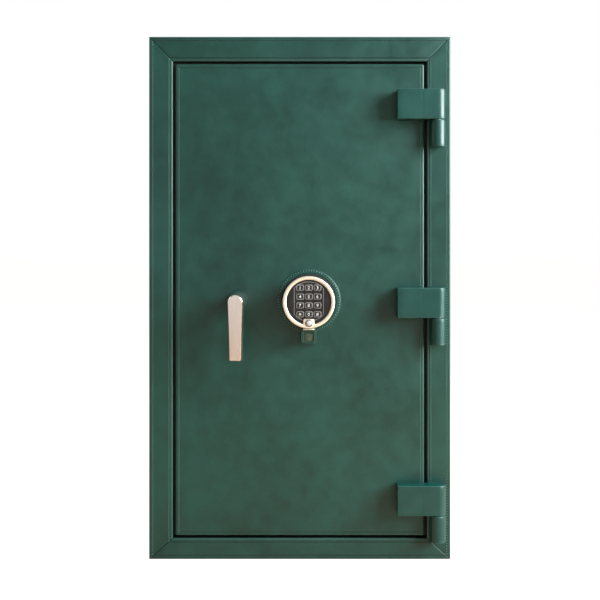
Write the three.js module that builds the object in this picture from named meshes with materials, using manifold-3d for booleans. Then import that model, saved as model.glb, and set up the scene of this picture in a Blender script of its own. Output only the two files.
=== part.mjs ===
// Leather-covered compact gun safe with a keypad lock and bolts on three sides of the door.
// Millimetres. +X is to the right of someone facing the door, -Y comes out of the door
// towards them, and +Z is up. The origin is the centre of the base.

import * as THREE from 'three';
import { mergeVertices } from 'three/addons/utils/BufferGeometryUtils.js';
import Module from 'manifold-3d';

const wasm = await Module();
wasm.setup();

// ---------- driving dimensions ----------

const WIDTH = 500;
const HEIGHT = 867;
const DEPTH = 430;
const GAP = 0.3; // kept between any two pieces that touch
const LEATHER = 3;
const LEATHER_LIFT = 0.6; // the leather stops short of the floor

// Front frame and door opening
const FRAME_SIDE = 38.4;
const FRAME_TOP = 39.8;
const FRAME_BOTTOM = 34.5;
const DOOR_GAP = 5.6;
const FRAME_THICK = 17;
const LIP_WIDE = 22; // the stop lip that the bolts catch behind
const LIP_THICK = 10;
const SEAL_THICK = 2.4;
const SEAL_INSET = 6; // from the edge of the opening
const SEAL_LIP_INSET = 4; // from the inner edge of the lip

// Door
const PLATE_THICK = 12;
const PLATE_INSET = 1; // the leather stands this much proud of the plate's edges
const BOX_LEFT = -175;
const BOX_RIGHT = 176;
const BOX_BOTTOM = 67;
const BOX_TOP = 796;
const BOX_REAR = -130;
const SHEET = 2; // sheet metal of the boltwork box
const PANEL_THICK = 4;
const PANEL_INSET = 5;
const PANEL_CORNER = 8;
const LEATHER_CORNER = 3;
const DOG_BAR = { wide: 20, halfHeight: 283, corner: 3, front: -176, rear: -162 };

// Hinges: the axis stands in front of the frame, so the whole door swings clear of it
const HINGE_RADIUS = 12.75;
const HINGE_STANDOFF = 0.5;
const HINGE_X = 227;
const HINGE_HEIGHTS = { top: 752, middle: 427, bottom: 104 };
const STRAP_LENGTH = 67.5;
const STRAP_HEIGHT = 49;
const KNUCKLE_HEIGHT = 44;
const KNUCKLE_SPACE = 1;
const PIN_RADIUS = 6;
const PIN_CLEARANCE = 0.3;
const PIN_CAP = 6; // material left over each end of the pin
const FOOT_HALF_HEIGHT = 17;
const KNUCKLE_FOOT = [-7, 7];
const STRAP_FOOT = [-60, -30];

// Handle and keypad share one height
const PIVOT_Z = 429;
const HANDLE_X = -103;
const KEYPAD_X = 15;
const LEVER_LENGTH = 94;
const LEVER_TOP_RADIUS = 12.4;
const LEVER_END_HALF = 10;
const LEVER_BACK = 38;
const LEVER_FRONT = 52;
const BOSS_RADIUS = 13;
const ROSE_RADIUS = 17;
const ROSE_THICK = 3;
const ROSE_EDGE = 1;
const LEVER_BEVEL = 1.5;
const LEVER_END_ROUND = 3;
const SPINDLE_RADIUS = 6;
const SPINDLE_REACH = 30; // how far the spindle runs into the boss
const SPINDLE_PAST_PINION = 4;

// Boltwork
const GEAR_MODULE = 2;
const PINION_TEETH = 16;
const PRESSURE_ANGLE = THREE.MathUtils.degToRad(20);
const ADDENDUM = 1.5;
const DEDENDUM = 2;
const BACKLASH = 0.35;
const RACK_BODY = 10;
const BOLT_RADIUS = 10;
const BOLT_Y = -174;
const SIDE_BOLT_SPACING = 250;
const BOLT_CHAMFER = 1.5;
const BOLT_HOLE_CLEARANCE = 0.5;
const BOLT_TAIL_RADIUS = 5.8; // where a side bolt is held in the carrier
const BOLT_TAIL_PROUD = 1.5;
const CARRIER_HALF_THICK = 9;
const CRANK = [46, 61]; // from the tip of an end bolt to the block that steps over to its rod
const CRANK_THICK = 6; // behind the bolt's axis
const OVERLAP = 2; // of the parts of one solid
const RACK_TEETH = [-2, 5]; // first and last, counted from the pinion
const ROD_LAYER = [-197, -188];
const CARRIER_LAYER = [-184, -174];

// Keypad, measured outwards from the door leather
const RING_RADIUS = 42.1;
const RING_BORE = 36.3;
const HOUSING_RADIUS = 40;
const COLLAR_RADIUS = 53;
const COLLAR_THICK = 2;
const HOUSING_FRONT = 33.7;
const FACE_FRONT = 39.4;
const RING_FRONT = 42.4;
const KEY_SIZE = [12.6, 10];
const KEY_PITCH = [14.05, 14.3];
const KEYS_CENTRE_Z = 2;
const KEY_BACK = 35.4;
const KEY_FRONT = 40.6;
const KEY_NAMES = [
  ['1', '2', '3'],
  ['4', '5', '6'],
  ['7', '8', '9'],
  ['star', '0', 'hash'],
];
const DRAWER_HALF = 12.2;
const BATTERY = [17.5, 26.5, 48.5];

// ---------- places worked out from them ----------

const HALF_WIDTH = WIDTH / 2;
const FRONT = -DEPTH / 2;
const BACK = DEPTH / 2;
const STEEL_HALF = HALF_WIDTH - LEATHER;
const STEEL_TOP = HEIGHT - LEATHER;
const STEEL_FRONT = FRONT + LEATHER + GAP;
const LIP_FRONT = FRONT + LEATHER + FRAME_THICK;
const LIP_REAR = LIP_FRONT + LIP_THICK;
const CABINET_FRONT = LIP_REAR + GAP;
const OPENING = {
  half: HALF_WIDTH - FRAME_SIDE,
  bottom: FRAME_BOTTOM,
  top: HEIGHT - FRAME_TOP,
};
const DOOR = {
  half: OPENING.half - DOOR_GAP,
  bottom: OPENING.bottom + DOOR_GAP,
  top: OPENING.top - DOOR_GAP,
};
const PLATE_REAR = STEEL_FRONT + PLATE_THICK;
const BOX_FRONT = PLATE_REAR + GAP;
const HINGE_Y = FRONT - HINGE_STANDOFF - HINGE_RADIUS;
const PITCH_RADIUS = GEAR_MODULE * PINION_TEETH / 2;

// ---------- materials ----------

const finish = (color, roughness, metalness) =>
  new THREE.MeshStandardMaterial({ color, roughness, metalness });

const greenLeather = finish(0x1f4a3d, 0.55, 0);
const blackPaint = finish(0x1b1d1c, 0.5, 0.3);
const bareSteel = finish(0x8e9193, 0.35, 1);
const fireBoard = finish(0xb9b2a4, 0.9, 0);
const suede = finish(0xb79f7c, 0.95, 0);
const sealFoam = finish(0x111111, 0.9, 0);
const paleGold = finish(0xd9c3a6, 0.22, 1);
const blackPlastic = finish(0x141414, 0.45, 0);
const clearDome = finish(0xc9c9cc, 0.15, 0.2);
const batteryWrap = finish(0x3a3d42, 0.4, 0.5);

// ---------- geometry helpers ----------

const WELD = 1e-4;
const ROUND = 24; // sides of a plain round piece
const SMOOTH_ROUND = 32; // sides of the hinges and the handle
const FINE_ROUND = 60; // sides of the keypad

function toManifold(geometry) {
  const bare = geometry.clone();
  bare.deleteAttribute('normal');
  bare.deleteAttribute('uv');
  const merged = mergeVertices(bare, WELD);
  return new wasm.Manifold(new wasm.Mesh({
    numProp: 3,
    vertProperties: merged.attributes.position.array,
    triVerts: Uint32Array.from(merged.index.array),
  }));
}

function toGeometry(manifold) {
  const { vertProperties, triVerts } = manifold.getMesh();
  const geometry = new THREE.BufferGeometry();
  geometry.setAttribute('position', new THREE.BufferAttribute(vertProperties, 3));
  geometry.setIndex(new THREE.BufferAttribute(triVerts, 1));
  geometry.computeVertexNormals();
  return geometry;
}

const join = (...geometries) =>
  toGeometry(geometries.map(toManifold).reduce((body, piece) => body.add(piece)));
const cut = (geometry, ...tools) =>
  toGeometry(tools.map(toManifold).reduce((body, tool) => body.subtract(tool), toManifold(geometry)));

function block(x0, x1, y0, y1, z0, z1) {
  return new THREE.BoxGeometry(x1 - x0, y1 - y0, z1 - z0)
    .translate((x0 + x1) / 2, (y0 + y1) / 2, (z0 + z1) / 2);
}

// A round bar along Z, from z0 to z1
function uprightBar(radius, z0, z1, sides = ROUND) {
  return new THREE.CylinderGeometry(radius, radius, z1 - z0, sides)
    .rotateX(Math.PI / 2)
    .translate(0, 0, (z0 + z1) / 2);
}

// A round bar that runs along Y, from the front end y0 to the rear end y1
function throughBar(radius, y0, y1, sides = ROUND) {
  return new THREE.CylinderGeometry(radius, radius, y1 - y0, sides)
    .translate(0, (y0 + y1) / 2, 0);
}

// An outline drawn in X and Z, made solid from the front face y0 to the rear face y1
function frontPlate(shape, y0, y1, curveSegments = 6) {
  return new THREE.ExtrudeGeometry(shape, { depth: y1 - y0, bevelEnabled: false, curveSegments })
    .rotateX(Math.PI / 2)
    .translate(0, y1, 0);
}

// A profile of [radius, distance] points turned about the Y axis, facing the viewer:
// the distance is measured towards -Y
function turnedForward(profile, sides) {
  const points = profile.map(([radius, distance]) => new THREE.Vector2(radius, distance));
  return new THREE.LatheGeometry(points, sides).rotateX(Math.PI);
}

function roundedRect(x0, x1, z0, z1, radius) {
  const shape = new THREE.Shape();
  shape.moveTo(x0 + radius, z0);
  shape.lineTo(x1 - radius, z0);
  shape.absarc(x1 - radius, z0 + radius, radius, -Math.PI / 2, 0);
  shape.lineTo(x1, z1 - radius);
  shape.absarc(x1 - radius, z1 - radius, radius, 0, Math.PI / 2);
  shape.lineTo(x0 + radius, z1);
  shape.absarc(x0 + radius, z1 - radius, radius, Math.PI / 2, Math.PI);
  shape.lineTo(x0, z0 + radius);
  shape.absarc(x0 + radius, z0 + radius, radius, Math.PI, 1.5 * Math.PI);
  return shape;
}

function add(parent, name, geometry, material) {
  const mesh = new THREE.Mesh(geometry, material);
  mesh.name = name;
  parent.add(mesh);
  return mesh;
}

function addGroup(parent, x, y, z) {
  const group = new THREE.Group();
  group.position.set(x, y, z);
  parent.add(group);
  return group;
}

// ---------- carcass ----------

// Four shells nest inside one another, each open at the front
const SHELLS = [
  { name: 'outer_casing', wall: 5, material: blackPaint },
  { name: 'fire_fill', wall: 29, material: fireBoard },
  { name: 'inner_casing', wall: 2, material: bareSteel },
  { name: 'interior_lining', wall: 3, material: suede },
];
const SHELF_HEIGHTS = { lower_shelf: 300, upper_shelf: 560 };
const SHELF_THICK = 18;
const SHELF_FRONT = -112;
const LEDGE = 12;

function addShells(parent) {
  const box = { half: STEEL_HALF, bottom: 0, top: STEEL_TOP, back: BACK };
  for (const { name, wall, material } of SHELLS) {
    const { half, bottom, top, back } = box;
    const hollow = { half: half - wall, bottom: bottom + wall, top: top - wall, back: back - wall };
    let shell = cut(
      block(-half, half, CABINET_FRONT, back, bottom, top),
      block(-hollow.half, hollow.half, CABINET_FRONT - 1, hollow.back, hollow.bottom, hollow.top),
    );
    if (name === 'interior_lining') {
      shell = join(shell, ...shelfLedges(hollow));
      addShelves(parent, hollow);
    }
    add(parent, name, shell, material);
    box.half = hollow.half - GAP;
    box.bottom = hollow.bottom + GAP;
    box.top = hollow.top - GAP;
    box.back = hollow.back - GAP;
  }
}

function shelfLedges(hollow) {
  const ledges = [];
  for (const height of Object.values(SHELF_HEIGHTS)) {
    for (const side of [-1, 1]) {
      const edges = [side * (hollow.half - LEDGE), side * (hollow.half + 1)].sort((a, b) => a - b);
      ledges.push(block(...edges, SHELF_FRONT, hollow.back + 1, height - GAP - LEDGE, height - GAP));
    }
  }
  return ledges;
}

function addShelves(parent, hollow) {
  for (const [name, height] of Object.entries(SHELF_HEIGHTS)) {
    const shelf = block(-hollow.half + GAP, hollow.half - GAP, SHELF_FRONT, hollow.back - GAP, 0, SHELF_THICK);
    add(parent, name, shelf, suede).position.z = height;
  }
}

function addFrontFrame(parent) {
  const { half, bottom, top } = OPENING;
  const lip = { half: half - LIP_WIDE, bottom: bottom + LIP_WIDE, top: top - LIP_WIDE };
  const frame = cut(
    block(-STEEL_HALF, STEEL_HALF, STEEL_FRONT, LIP_REAR, 0, STEEL_TOP),
    block(-half, half, STEEL_FRONT - 1, LIP_FRONT, bottom, top),
    block(-lip.half, lip.half, STEEL_FRONT - 1, LIP_REAR + 1, lip.bottom, lip.top),
  );
  add(parent, 'front_frame', frame, blackPaint);

  const sealRear = LIP_FRONT - GAP;
  const seal = cut(
    block(-half + SEAL_INSET, half - SEAL_INSET, sealRear - SEAL_THICK, sealRear,
      bottom + SEAL_INSET, top - SEAL_INSET),
    block(-lip.half - SEAL_LIP_INSET, lip.half + SEAL_LIP_INSET, FRONT, 0,
      lip.bottom - SEAL_LIP_INSET, lip.top + SEAL_LIP_INSET),
  );
  add(parent, 'fire_seal', seal, sealFoam);
}

// The foot of a hinge part passes through the leather to the steel behind it
function footSlot(x0, x1, z) {
  return block(x0 - GAP, x1 + GAP, FRONT - 1, STEEL_FRONT, z - FOOT_HALF_HEIGHT - GAP,
    z + FOOT_HALF_HEIGHT + GAP);
}

const KNUCKLE_TOP = -STRAP_HEIGHT / 2 - KNUCKLE_SPACE;
const KNUCKLE_MIDDLE = KNUCKLE_TOP - KNUCKLE_HEIGHT / 2;

function addFrameLeather(parent) {
  const outer = { half: HALF_WIDTH, bottom: LEATHER_LIFT, top: HEIGHT };
  const { half, bottom, top } = OPENING;
  // Each strip is [outer start, outer end, inner end, inner start], mitred at its ends
  const strips = {
    top: [[outer.half - GAP, outer.top], [-outer.half + GAP, outer.top], [-half + GAP, top], [half - GAP, top]],
    bottom: [[-outer.half + GAP, outer.bottom], [outer.half - GAP, outer.bottom],
      [half - GAP, bottom], [-half + GAP, bottom]],
    left: [[-outer.half, outer.top], [-outer.half, outer.bottom], [-half, bottom], [-half, top]],
    right: [[outer.half, outer.bottom], [outer.half, outer.top], [half, top], [half, bottom]],
  };
  for (const [side, corners] of Object.entries(strips)) {
    const outline = new THREE.Shape(corners.map(([x, z]) => new THREE.Vector2(x, z)));
    let strip = frontPlate(outline, FRONT, FRONT + LEATHER);
    if (side === 'right') {
      const slots = Object.values(HINGE_HEIGHTS).map((z) =>
        footSlot(HINGE_X + KNUCKLE_FOOT[0], HINGE_X + KNUCKLE_FOOT[1], z + KNUCKLE_MIDDLE));
      strip = cut(strip, ...slots);
    }
    add(parent, `frame_leather_${side}`, strip, greenLeather);
  }
}

function addBodyLeather(parent) {
  const front = STEEL_FRONT;
  const thick = LEATHER - GAP;
  for (const [side, sign] of [['left', -1], ['right', 1]]) {
    const panel = block(-thick / 2, thick / 2, front, BACK, LEATHER_LIFT, HEIGHT - LEATHER);
    add(parent, `side_leather_${side}`, panel, greenLeather).position.x = sign * (HALF_WIDTH - thick / 2);
  }
  add(parent, 'top_leather', block(-HALF_WIDTH, HALF_WIDTH, front, BACK, HEIGHT - thick, HEIGHT), greenLeather);
}

// ---------- hinges ----------

// Each hinge is a strap on the door over a knuckle on the frame, with a blind pin in both
function addHinge(carcass, door, place, z) {
  const fixed = addGroup(carcass, HINGE_X, HINGE_Y, z);
  const swinging = addGroup(door, HINGE_X, HINGE_Y, z);
  const footFront = -HINGE_Y + FRONT + LEATHER;
  const bore = PIN_RADIUS + PIN_CLEARANCE;
  const knuckleBottom = KNUCKLE_TOP - KNUCKLE_HEIGHT;
  const strapTop = STRAP_HEIGHT / 2;

  const knuckle = cut(
    join(
      uprightBar(HINGE_RADIUS, knuckleBottom, KNUCKLE_TOP, SMOOTH_ROUND),
      block(...KNUCKLE_FOOT, 0, footFront, KNUCKLE_MIDDLE - FOOT_HALF_HEIGHT, KNUCKLE_MIDDLE + FOOT_HALF_HEIGHT),
    ),
    uprightBar(bore, knuckleBottom + PIN_CAP, KNUCKLE_TOP + 1),
  );
  add(fixed, `hinge_knuckle_${place}`, knuckle, greenLeather);

  const pin = uprightBar(PIN_RADIUS, knuckleBottom + PIN_CAP + GAP, strapTop - PIN_CAP - GAP);
  add(fixed, `hinge_pin_${place}`, pin, bareSteel);

  const plan = new THREE.Shape();
  plan.moveTo(-STRAP_LENGTH, -HINGE_RADIUS);
  plan.lineTo(0, -HINGE_RADIUS);
  plan.absarc(0, 0, HINGE_RADIUS, -Math.PI / 2, Math.PI / 2);
  plan.lineTo(-STRAP_LENGTH, HINGE_RADIUS);
  const slab = new THREE.ExtrudeGeometry(plan, { depth: STRAP_HEIGHT, bevelEnabled: false, curveSegments: 12 })
    .translate(0, 0, -strapTop);
  const strap = cut(
    join(slab, block(...STRAP_FOOT, 0, footFront, -FOOT_HALF_HEIGHT, FOOT_HALF_HEIGHT)),
    uprightBar(bore, -strapTop - 1, strapTop - PIN_CAP),
  );
  add(swinging, `hinge_strap_${place}`, strap, greenLeather);
}

// ---------- door ----------

const SPINDLE_HOLE = 7;
const CABLE_HOLE = 5;
const SIDE_BOLT_HEIGHTS = {
  upper: PIVOT_Z + SIDE_BOLT_SPACING,
  middle: PIVOT_Z,
  lower: PIVOT_Z - SIDE_BOLT_SPACING,
};
const ROD_OFFSET = PITCH_RADIUS + DEDENDUM + RACK_BODY / 2; // from the pinion to a rod's middle

function addDoorPanels(door) {
  const spindleHole = throughBar(SPINDLE_HOLE, FRONT - 1, PLATE_REAR + 1).translate(HANDLE_X, 0, PIVOT_Z);
  const cableHole = throughBar(CABLE_HOLE, FRONT - 1, PLATE_REAR + 1).translate(KEYPAD_X, 0, PIVOT_Z);
  const plate = cut(
    block(-DOOR.half + PLATE_INSET, DOOR.half - PLATE_INSET, STEEL_FRONT, PLATE_REAR,
      DOOR.bottom + PLATE_INSET, DOOR.top - PLATE_INSET),
    spindleHole,
    cableHole,
  );
  add(door, 'door_plate', plate, bareSteel);

  const outline = roundedRect(-DOOR.half, DOOR.half, DOOR.bottom, DOOR.top, LEATHER_CORNER);
  const sheet = frontPlate(outline, FRONT, FRONT + LEATHER);
  const slots = Object.values(HINGE_HEIGHTS).map((z) =>
    footSlot(HINGE_X + STRAP_FOOT[0], HINGE_X + STRAP_FOOT[1], z));
  add(door, 'door_leather', cut(sheet, spindleHole, cableHole, ...slots), greenLeather);
}

function addBoltworkBox(door) {
  const hole = BOLT_RADIUS + BOLT_HOLE_CLEARANCE;
  const sideHoles = Object.values(SIDE_BOLT_HEIGHTS).map((z) =>
    uprightBar(hole, -SHEET * 2, SHEET * 2).rotateY(Math.PI / 2).translate(BOX_LEFT, BOLT_Y, z));
  const topHole = uprightBar(hole, BOX_TOP - 2 * SHEET, BOX_TOP + 1).translate(HANDLE_X - ROD_OFFSET, BOLT_Y, 0);
  const bottomHole = uprightBar(hole, BOX_BOTTOM - 1, BOX_BOTTOM + 2 * SHEET)
    .translate(HANDLE_X + ROD_OFFSET, BOLT_Y, 0);
  const box = cut(
    block(BOX_LEFT, BOX_RIGHT, BOX_FRONT, BOX_REAR, BOX_BOTTOM, BOX_TOP),
    block(BOX_LEFT + SHEET, BOX_RIGHT - SHEET, BOX_FRONT - 1, BOX_REAR - SHEET, BOX_BOTTOM + SHEET, BOX_TOP - SHEET),
    ...sideHoles,
    topHole,
    bottomHole,
  );
  add(door, 'boltwork_box', box, blackPaint);

  const panel = roundedRect(BOX_LEFT + PANEL_INSET, BOX_RIGHT - PANEL_INSET, BOX_BOTTOM + PANEL_INSET,
    BOX_TOP - PANEL_INSET, PANEL_CORNER);
  add(door, 'door_inner_panel', frontPlate(panel, BOX_REAR + GAP, BOX_REAR + GAP + PANEL_THICK), suede);

  // A fixed bar on the hinge side hooks behind the lip when the door is shut
  const { wide, halfHeight, corner, front, rear } = DOG_BAR;
  const dogBar = roundedRect(0, wide, -halfHeight, halfHeight, corner);
  add(door, 'hinge_side_dog_bar', frontPlate(dogBar, front, rear), bareSteel)
    .position.set(BOX_RIGHT + GAP, 0, PIVOT_Z);
}

// ---------- rack and pinion ----------

const BASE_RADIUS = PITCH_RADIUS * Math.cos(PRESSURE_ANGLE);
const RACK_PITCH = Math.PI * GEAR_MODULE;
const TOOTH_THICK = RACK_PITCH / 2 - BACKLASH;

function involute(radius) {
  const angle = Math.acos(Math.min(1, BASE_RADIUS / radius));
  return Math.tan(angle) - angle;
}

// One tooth of the pinion points straight down, one to each side
function pinionOutline() {
  const flank = [PITCH_RADIUS - DEDENDUM, BASE_RADIUS, PITCH_RADIUS, PITCH_RADIUS + ADDENDUM];
  const halfAngle = (radius) => TOOTH_THICK / 2 / PITCH_RADIUS + involute(PITCH_RADIUS) - involute(radius);
  const points = [];
  for (let tooth = 0; tooth < PINION_TEETH; tooth++) {
    const middle = tooth * 2 * Math.PI / PINION_TEETH;
    const polar = (radius, angle) => new THREE.Vector2(radius * Math.cos(angle), radius * Math.sin(angle));
    flank.forEach((radius) => points.push(polar(radius, middle - halfAngle(radius))));
    [...flank].reverse().forEach((radius) => points.push(polar(radius, middle + halfAngle(radius))));
  }
  return new THREE.Shape(points);
}

// A bar from start to end, with rack teeth that point up, drawn about the pinion's
// centre: the pinion sits above a gap between two teeth
function rackOutline(start, end) {
  const pitchLine = -PITCH_RADIUS;
  const root = pitchLine - DEDENDUM;
  const tip = pitchLine + ADDENDUM;
  const slope = Math.tan(PRESSURE_ANGLE);
  const [firstTooth, lastTooth] = RACK_TEETH;
  const points = [[start, root - RACK_BODY], [end, root - RACK_BODY], [end, root]];
  for (let tooth = lastTooth; tooth >= firstTooth; tooth--) {
    const middle = (tooth + 0.5) * RACK_PITCH;
    const rootHalf = TOOTH_THICK / 2 + DEDENDUM * slope;
    const tipHalf = TOOTH_THICK / 2 - ADDENDUM * slope;
    points.push([middle + rootHalf, root], [middle + tipHalf, tip]);
    points.push([middle - tipHalf, tip], [middle - rootHalf, root]);
  }
  points.push([start, root]);
  return new THREE.Shape(points.map(([x, z]) => new THREE.Vector2(x, z)));
}

const THROW_TEETH_END = 40; // the racks run this far past the pinion
const BAR_LEFT = -43;
const BAR_RIGHT = -31;
const LUG = [123, 129];
const LUG_TOP = -9.5;

function addBoltwork(door) {
  const centre = addGroup(door, HANDLE_X, 0, PIVOT_Z);
  const bolt = BOLT_RADIUS;
  const chamfer = BOLT_CHAMFER;

  const bores = [-1, 0, 1].map((step) =>
    uprightBar(BOLT_TAIL_RADIUS + GAP, BAR_LEFT - 1, BAR_RIGHT + 1)
      .rotateY(Math.PI / 2)
      .translate(0, BOLT_Y, step * SIDE_BOLT_SPACING));
  const barHalfHeight = SIDE_BOLT_SPACING + 1.5 * bolt;
  const armBottom = -PITCH_RADIUS - DEDENDUM - RACK_BODY;
  const carrier = cut(
    join(
      frontPlate(rackOutline(BAR_LEFT + OVERLAP, LUG[1]), ...CARRIER_LAYER),
      block(...LUG, ...CARRIER_LAYER, armBottom, LUG_TOP),
      block(BAR_LEFT, BAR_RIGHT, BOLT_Y - CARRIER_HALF_THICK, BOLT_Y + CARRIER_HALF_THICK,
        -barHalfHeight, barHalfHeight),
    ),
    ...bores,
  );
  add(centre, 'bolt_carrier', carrier, bareSteel);

  // Side bolts lie along X, with their tips level with the box at rest
  const tip = BOX_LEFT - HANDLE_X;
  const shoulder = BAR_LEFT - GAP - tip;
  const tail = BAR_RIGHT + BOLT_TAIL_PROUD - tip;
  for (const [place, z] of Object.entries(SIDE_BOLT_HEIGHTS)) {
    const profile = [[0, 0], [bolt - chamfer, 0], [bolt, chamfer], [bolt, shoulder],
      [BOLT_TAIL_RADIUS, shoulder], [BOLT_TAIL_RADIUS, tail], [0, tail]];
    const sideBolt = turnedForward(profile, ROUND).rotateZ(Math.PI / 2);
    add(centre, `side_bolt_${place}`, sideBolt, bareSteel).position.set(tip, BOLT_Y, z - PIVOT_Z);
  }

  // The end bolts: a rod in its own layer, a cranked block, and the round bolt
  for (const [name, sign, end] of [['top_bolt', 1, BOX_TOP], ['bottom_bolt', -1, BOX_BOTTOM]]) {
    const reach = Math.abs(end - PIVOT_Z);
    const blockBottom = reach - CRANK[1];
    const blockTop = reach - CRANK[0];
    const rod = frontPlate(rackOutline(-blockTop + OVERLAP, THROW_TEETH_END), ...ROD_LAYER);
    rod.rotateY(Math.PI / 2);
    const crank = block(-ROD_OFFSET - bolt, -ROD_OFFSET + bolt, ROD_LAYER[0], BOLT_Y + CRANK_THICK,
      blockBottom, blockTop);
    const bar = new THREE.CylinderGeometry(bolt - chamfer, bolt, chamfer, ROUND)
      .rotateX(Math.PI / 2)
      .translate(-ROD_OFFSET, BOLT_Y, reach - chamfer / 2);
    const shank = uprightBar(bolt, blockTop - OVERLAP, reach - chamfer).translate(-ROD_OFFSET, BOLT_Y, 0);
    const whole = join(rod, crank, shank, bar);
    if (sign < 0) {
      whole.rotateY(Math.PI);
    }
    add(centre, name, whole, bareSteel);
  }

  const pinion = cut(
    frontPlate(pinionOutline(), ROD_LAYER[0], CARRIER_LAYER[1]),
    throughBar(SPINDLE_RADIUS + GAP, ROD_LAYER[0] - 1, CARRIER_LAYER[1] + 1),
  );
  add(centre, 'drive_pinion', pinion, bareSteel);
}

// The lock's bolt drops beside the carrier's lug and holds it thrown or withdrawn
const LOCK_X = 10.5;
const LOCK_CASE = [60, 85];
const LOCK_CASE_BOTTOM = -8;
const LOCK_CORNER = 4;
const LOCK_REAR = -168;
const LOCK_BOLT = [16, 8, 20];

function addLock(door) {
  const lock = addGroup(door, LOCK_X, 0, PIVOT_Z + LOCK_CASE_BOTTOM);
  const middleY = (CARRIER_LAYER[0] + CARRIER_LAYER[1]) / 2;
  const [wide, thick, tall] = LOCK_BOLT;
  const pocket = block(-wide / 2 - GAP, wide / 2 + GAP, middleY - thick / 2 - GAP, middleY + thick / 2 + GAP,
    -1, tall + 1);
  const body = frontPlate(roundedRect(-LOCK_CASE[0] / 2, LOCK_CASE[0] / 2, 0, LOCK_CASE[1], LOCK_CORNER),
    BOX_FRONT, LOCK_REAR);
  add(lock, 'lock_case', cut(body, pocket), bareSteel);
  const bolt = block(-wide / 2, wide / 2, middleY - thick / 2, middleY + thick / 2, 0, tall);
  add(lock, 'lock_bolt', bolt, bareSteel).position.z = GAP;
}

// ---------- lever handle ----------

function leverOutline() {
  const round = LEVER_END_ROUND;
  const shape = new THREE.Shape();
  shape.moveTo(-LEVER_TOP_RADIUS, 0);
  shape.lineTo(-LEVER_END_HALF, -LEVER_LENGTH + round);
  shape.absarc(-LEVER_END_HALF + round, -LEVER_LENGTH + round, round, Math.PI, 1.5 * Math.PI);
  shape.lineTo(LEVER_END_HALF - round, -LEVER_LENGTH);
  shape.absarc(LEVER_END_HALF - round, -LEVER_LENGTH + round, round, -Math.PI / 2, 0);
  shape.lineTo(LEVER_TOP_RADIUS, 0);
  shape.absarc(0, 0, LEVER_TOP_RADIUS, 0, Math.PI);
  return shape;
}

function addHandle(door) {
  const group = addGroup(door, HANDLE_X, FRONT, PIVOT_Z);
  const rose = [[SPINDLE_HOLE, 0], [ROSE_RADIUS, 0], [ROSE_RADIUS, ROSE_THICK - ROSE_EDGE],
    [ROSE_RADIUS - ROSE_EDGE, ROSE_THICK], [SPINDLE_HOLE, ROSE_THICK], [SPINDLE_HOLE, 0]];
  add(group, 'handle_rose', turnedForward(rose, SMOOTH_ROUND), greenLeather).position.y = -GAP;

  const bevel = LEVER_BEVEL;
  const blade = new THREE.ExtrudeGeometry(leverOutline(), {
    depth: LEVER_FRONT - LEVER_BACK - 2 * bevel,
    bevelThickness: bevel,
    bevelSize: bevel,
    bevelOffset: -bevel,
    bevelSegments: 2,
    curveSegments: 10,
  });
  blade.rotateX(Math.PI / 2).translate(0, -LEVER_BACK - bevel, 0);
  const bossBack = -ROSE_THICK - 2 * GAP;
  const lever = cut(
    join(blade, throughBar(BOSS_RADIUS, -LEVER_BACK - OVERLAP, bossBack, SMOOTH_ROUND)),
    throughBar(SPINDLE_RADIUS + GAP, -SPINDLE_REACH - GAP, 0),
  );
  add(group, 'lever_handle', lever, paleGold);
  const spindleEnd = CARRIER_LAYER[1] + SPINDLE_PAST_PINION - FRONT;
  add(group, 'handle_spindle', throughBar(SPINDLE_RADIUS, -SPINDLE_REACH, spindleEnd), bareSteel);
}

// ---------- keypad ----------

const DRAWER_BACK = 3.5;
const DRAWER_FRONT = 33;
const DRAWER_TOP = 16.5;
const DRAWER_BOTTOM = -37.5;
const DRAWER_WALL = 2;
const SLACK = 0.4; // round the drawer and round the battery
const TAB_BOTTOM = -69;
const TAB_FRONT = 16;
const DISH = { inset: 3.5, depth: 2, bottom: TAB_BOTTOM + 4, top: TAB_BOTTOM + 19 };
const BATTERY_BOTTOM = -34.8;
const BATTERY_CORNER = 1.5;
const STATUS_Z = -33.7;
const STATUS_RADIUS = 5.5;
const STATUS_DEPTH = 1.5; // of the window's seat in the plate
const STATUS_PLATE = { half: 8.8, top: -27, bottom: -RING_RADIUS + 3, front: RING_FRONT - 0.2 };
const KEY_ROUND = 2.6;

// Blocks of the keypad are given by how far they stand off the door, back then front
const proud = (x0, x1, back, front, z0, z1) => block(x0, x1, -front, -back, z0, z1);

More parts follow.
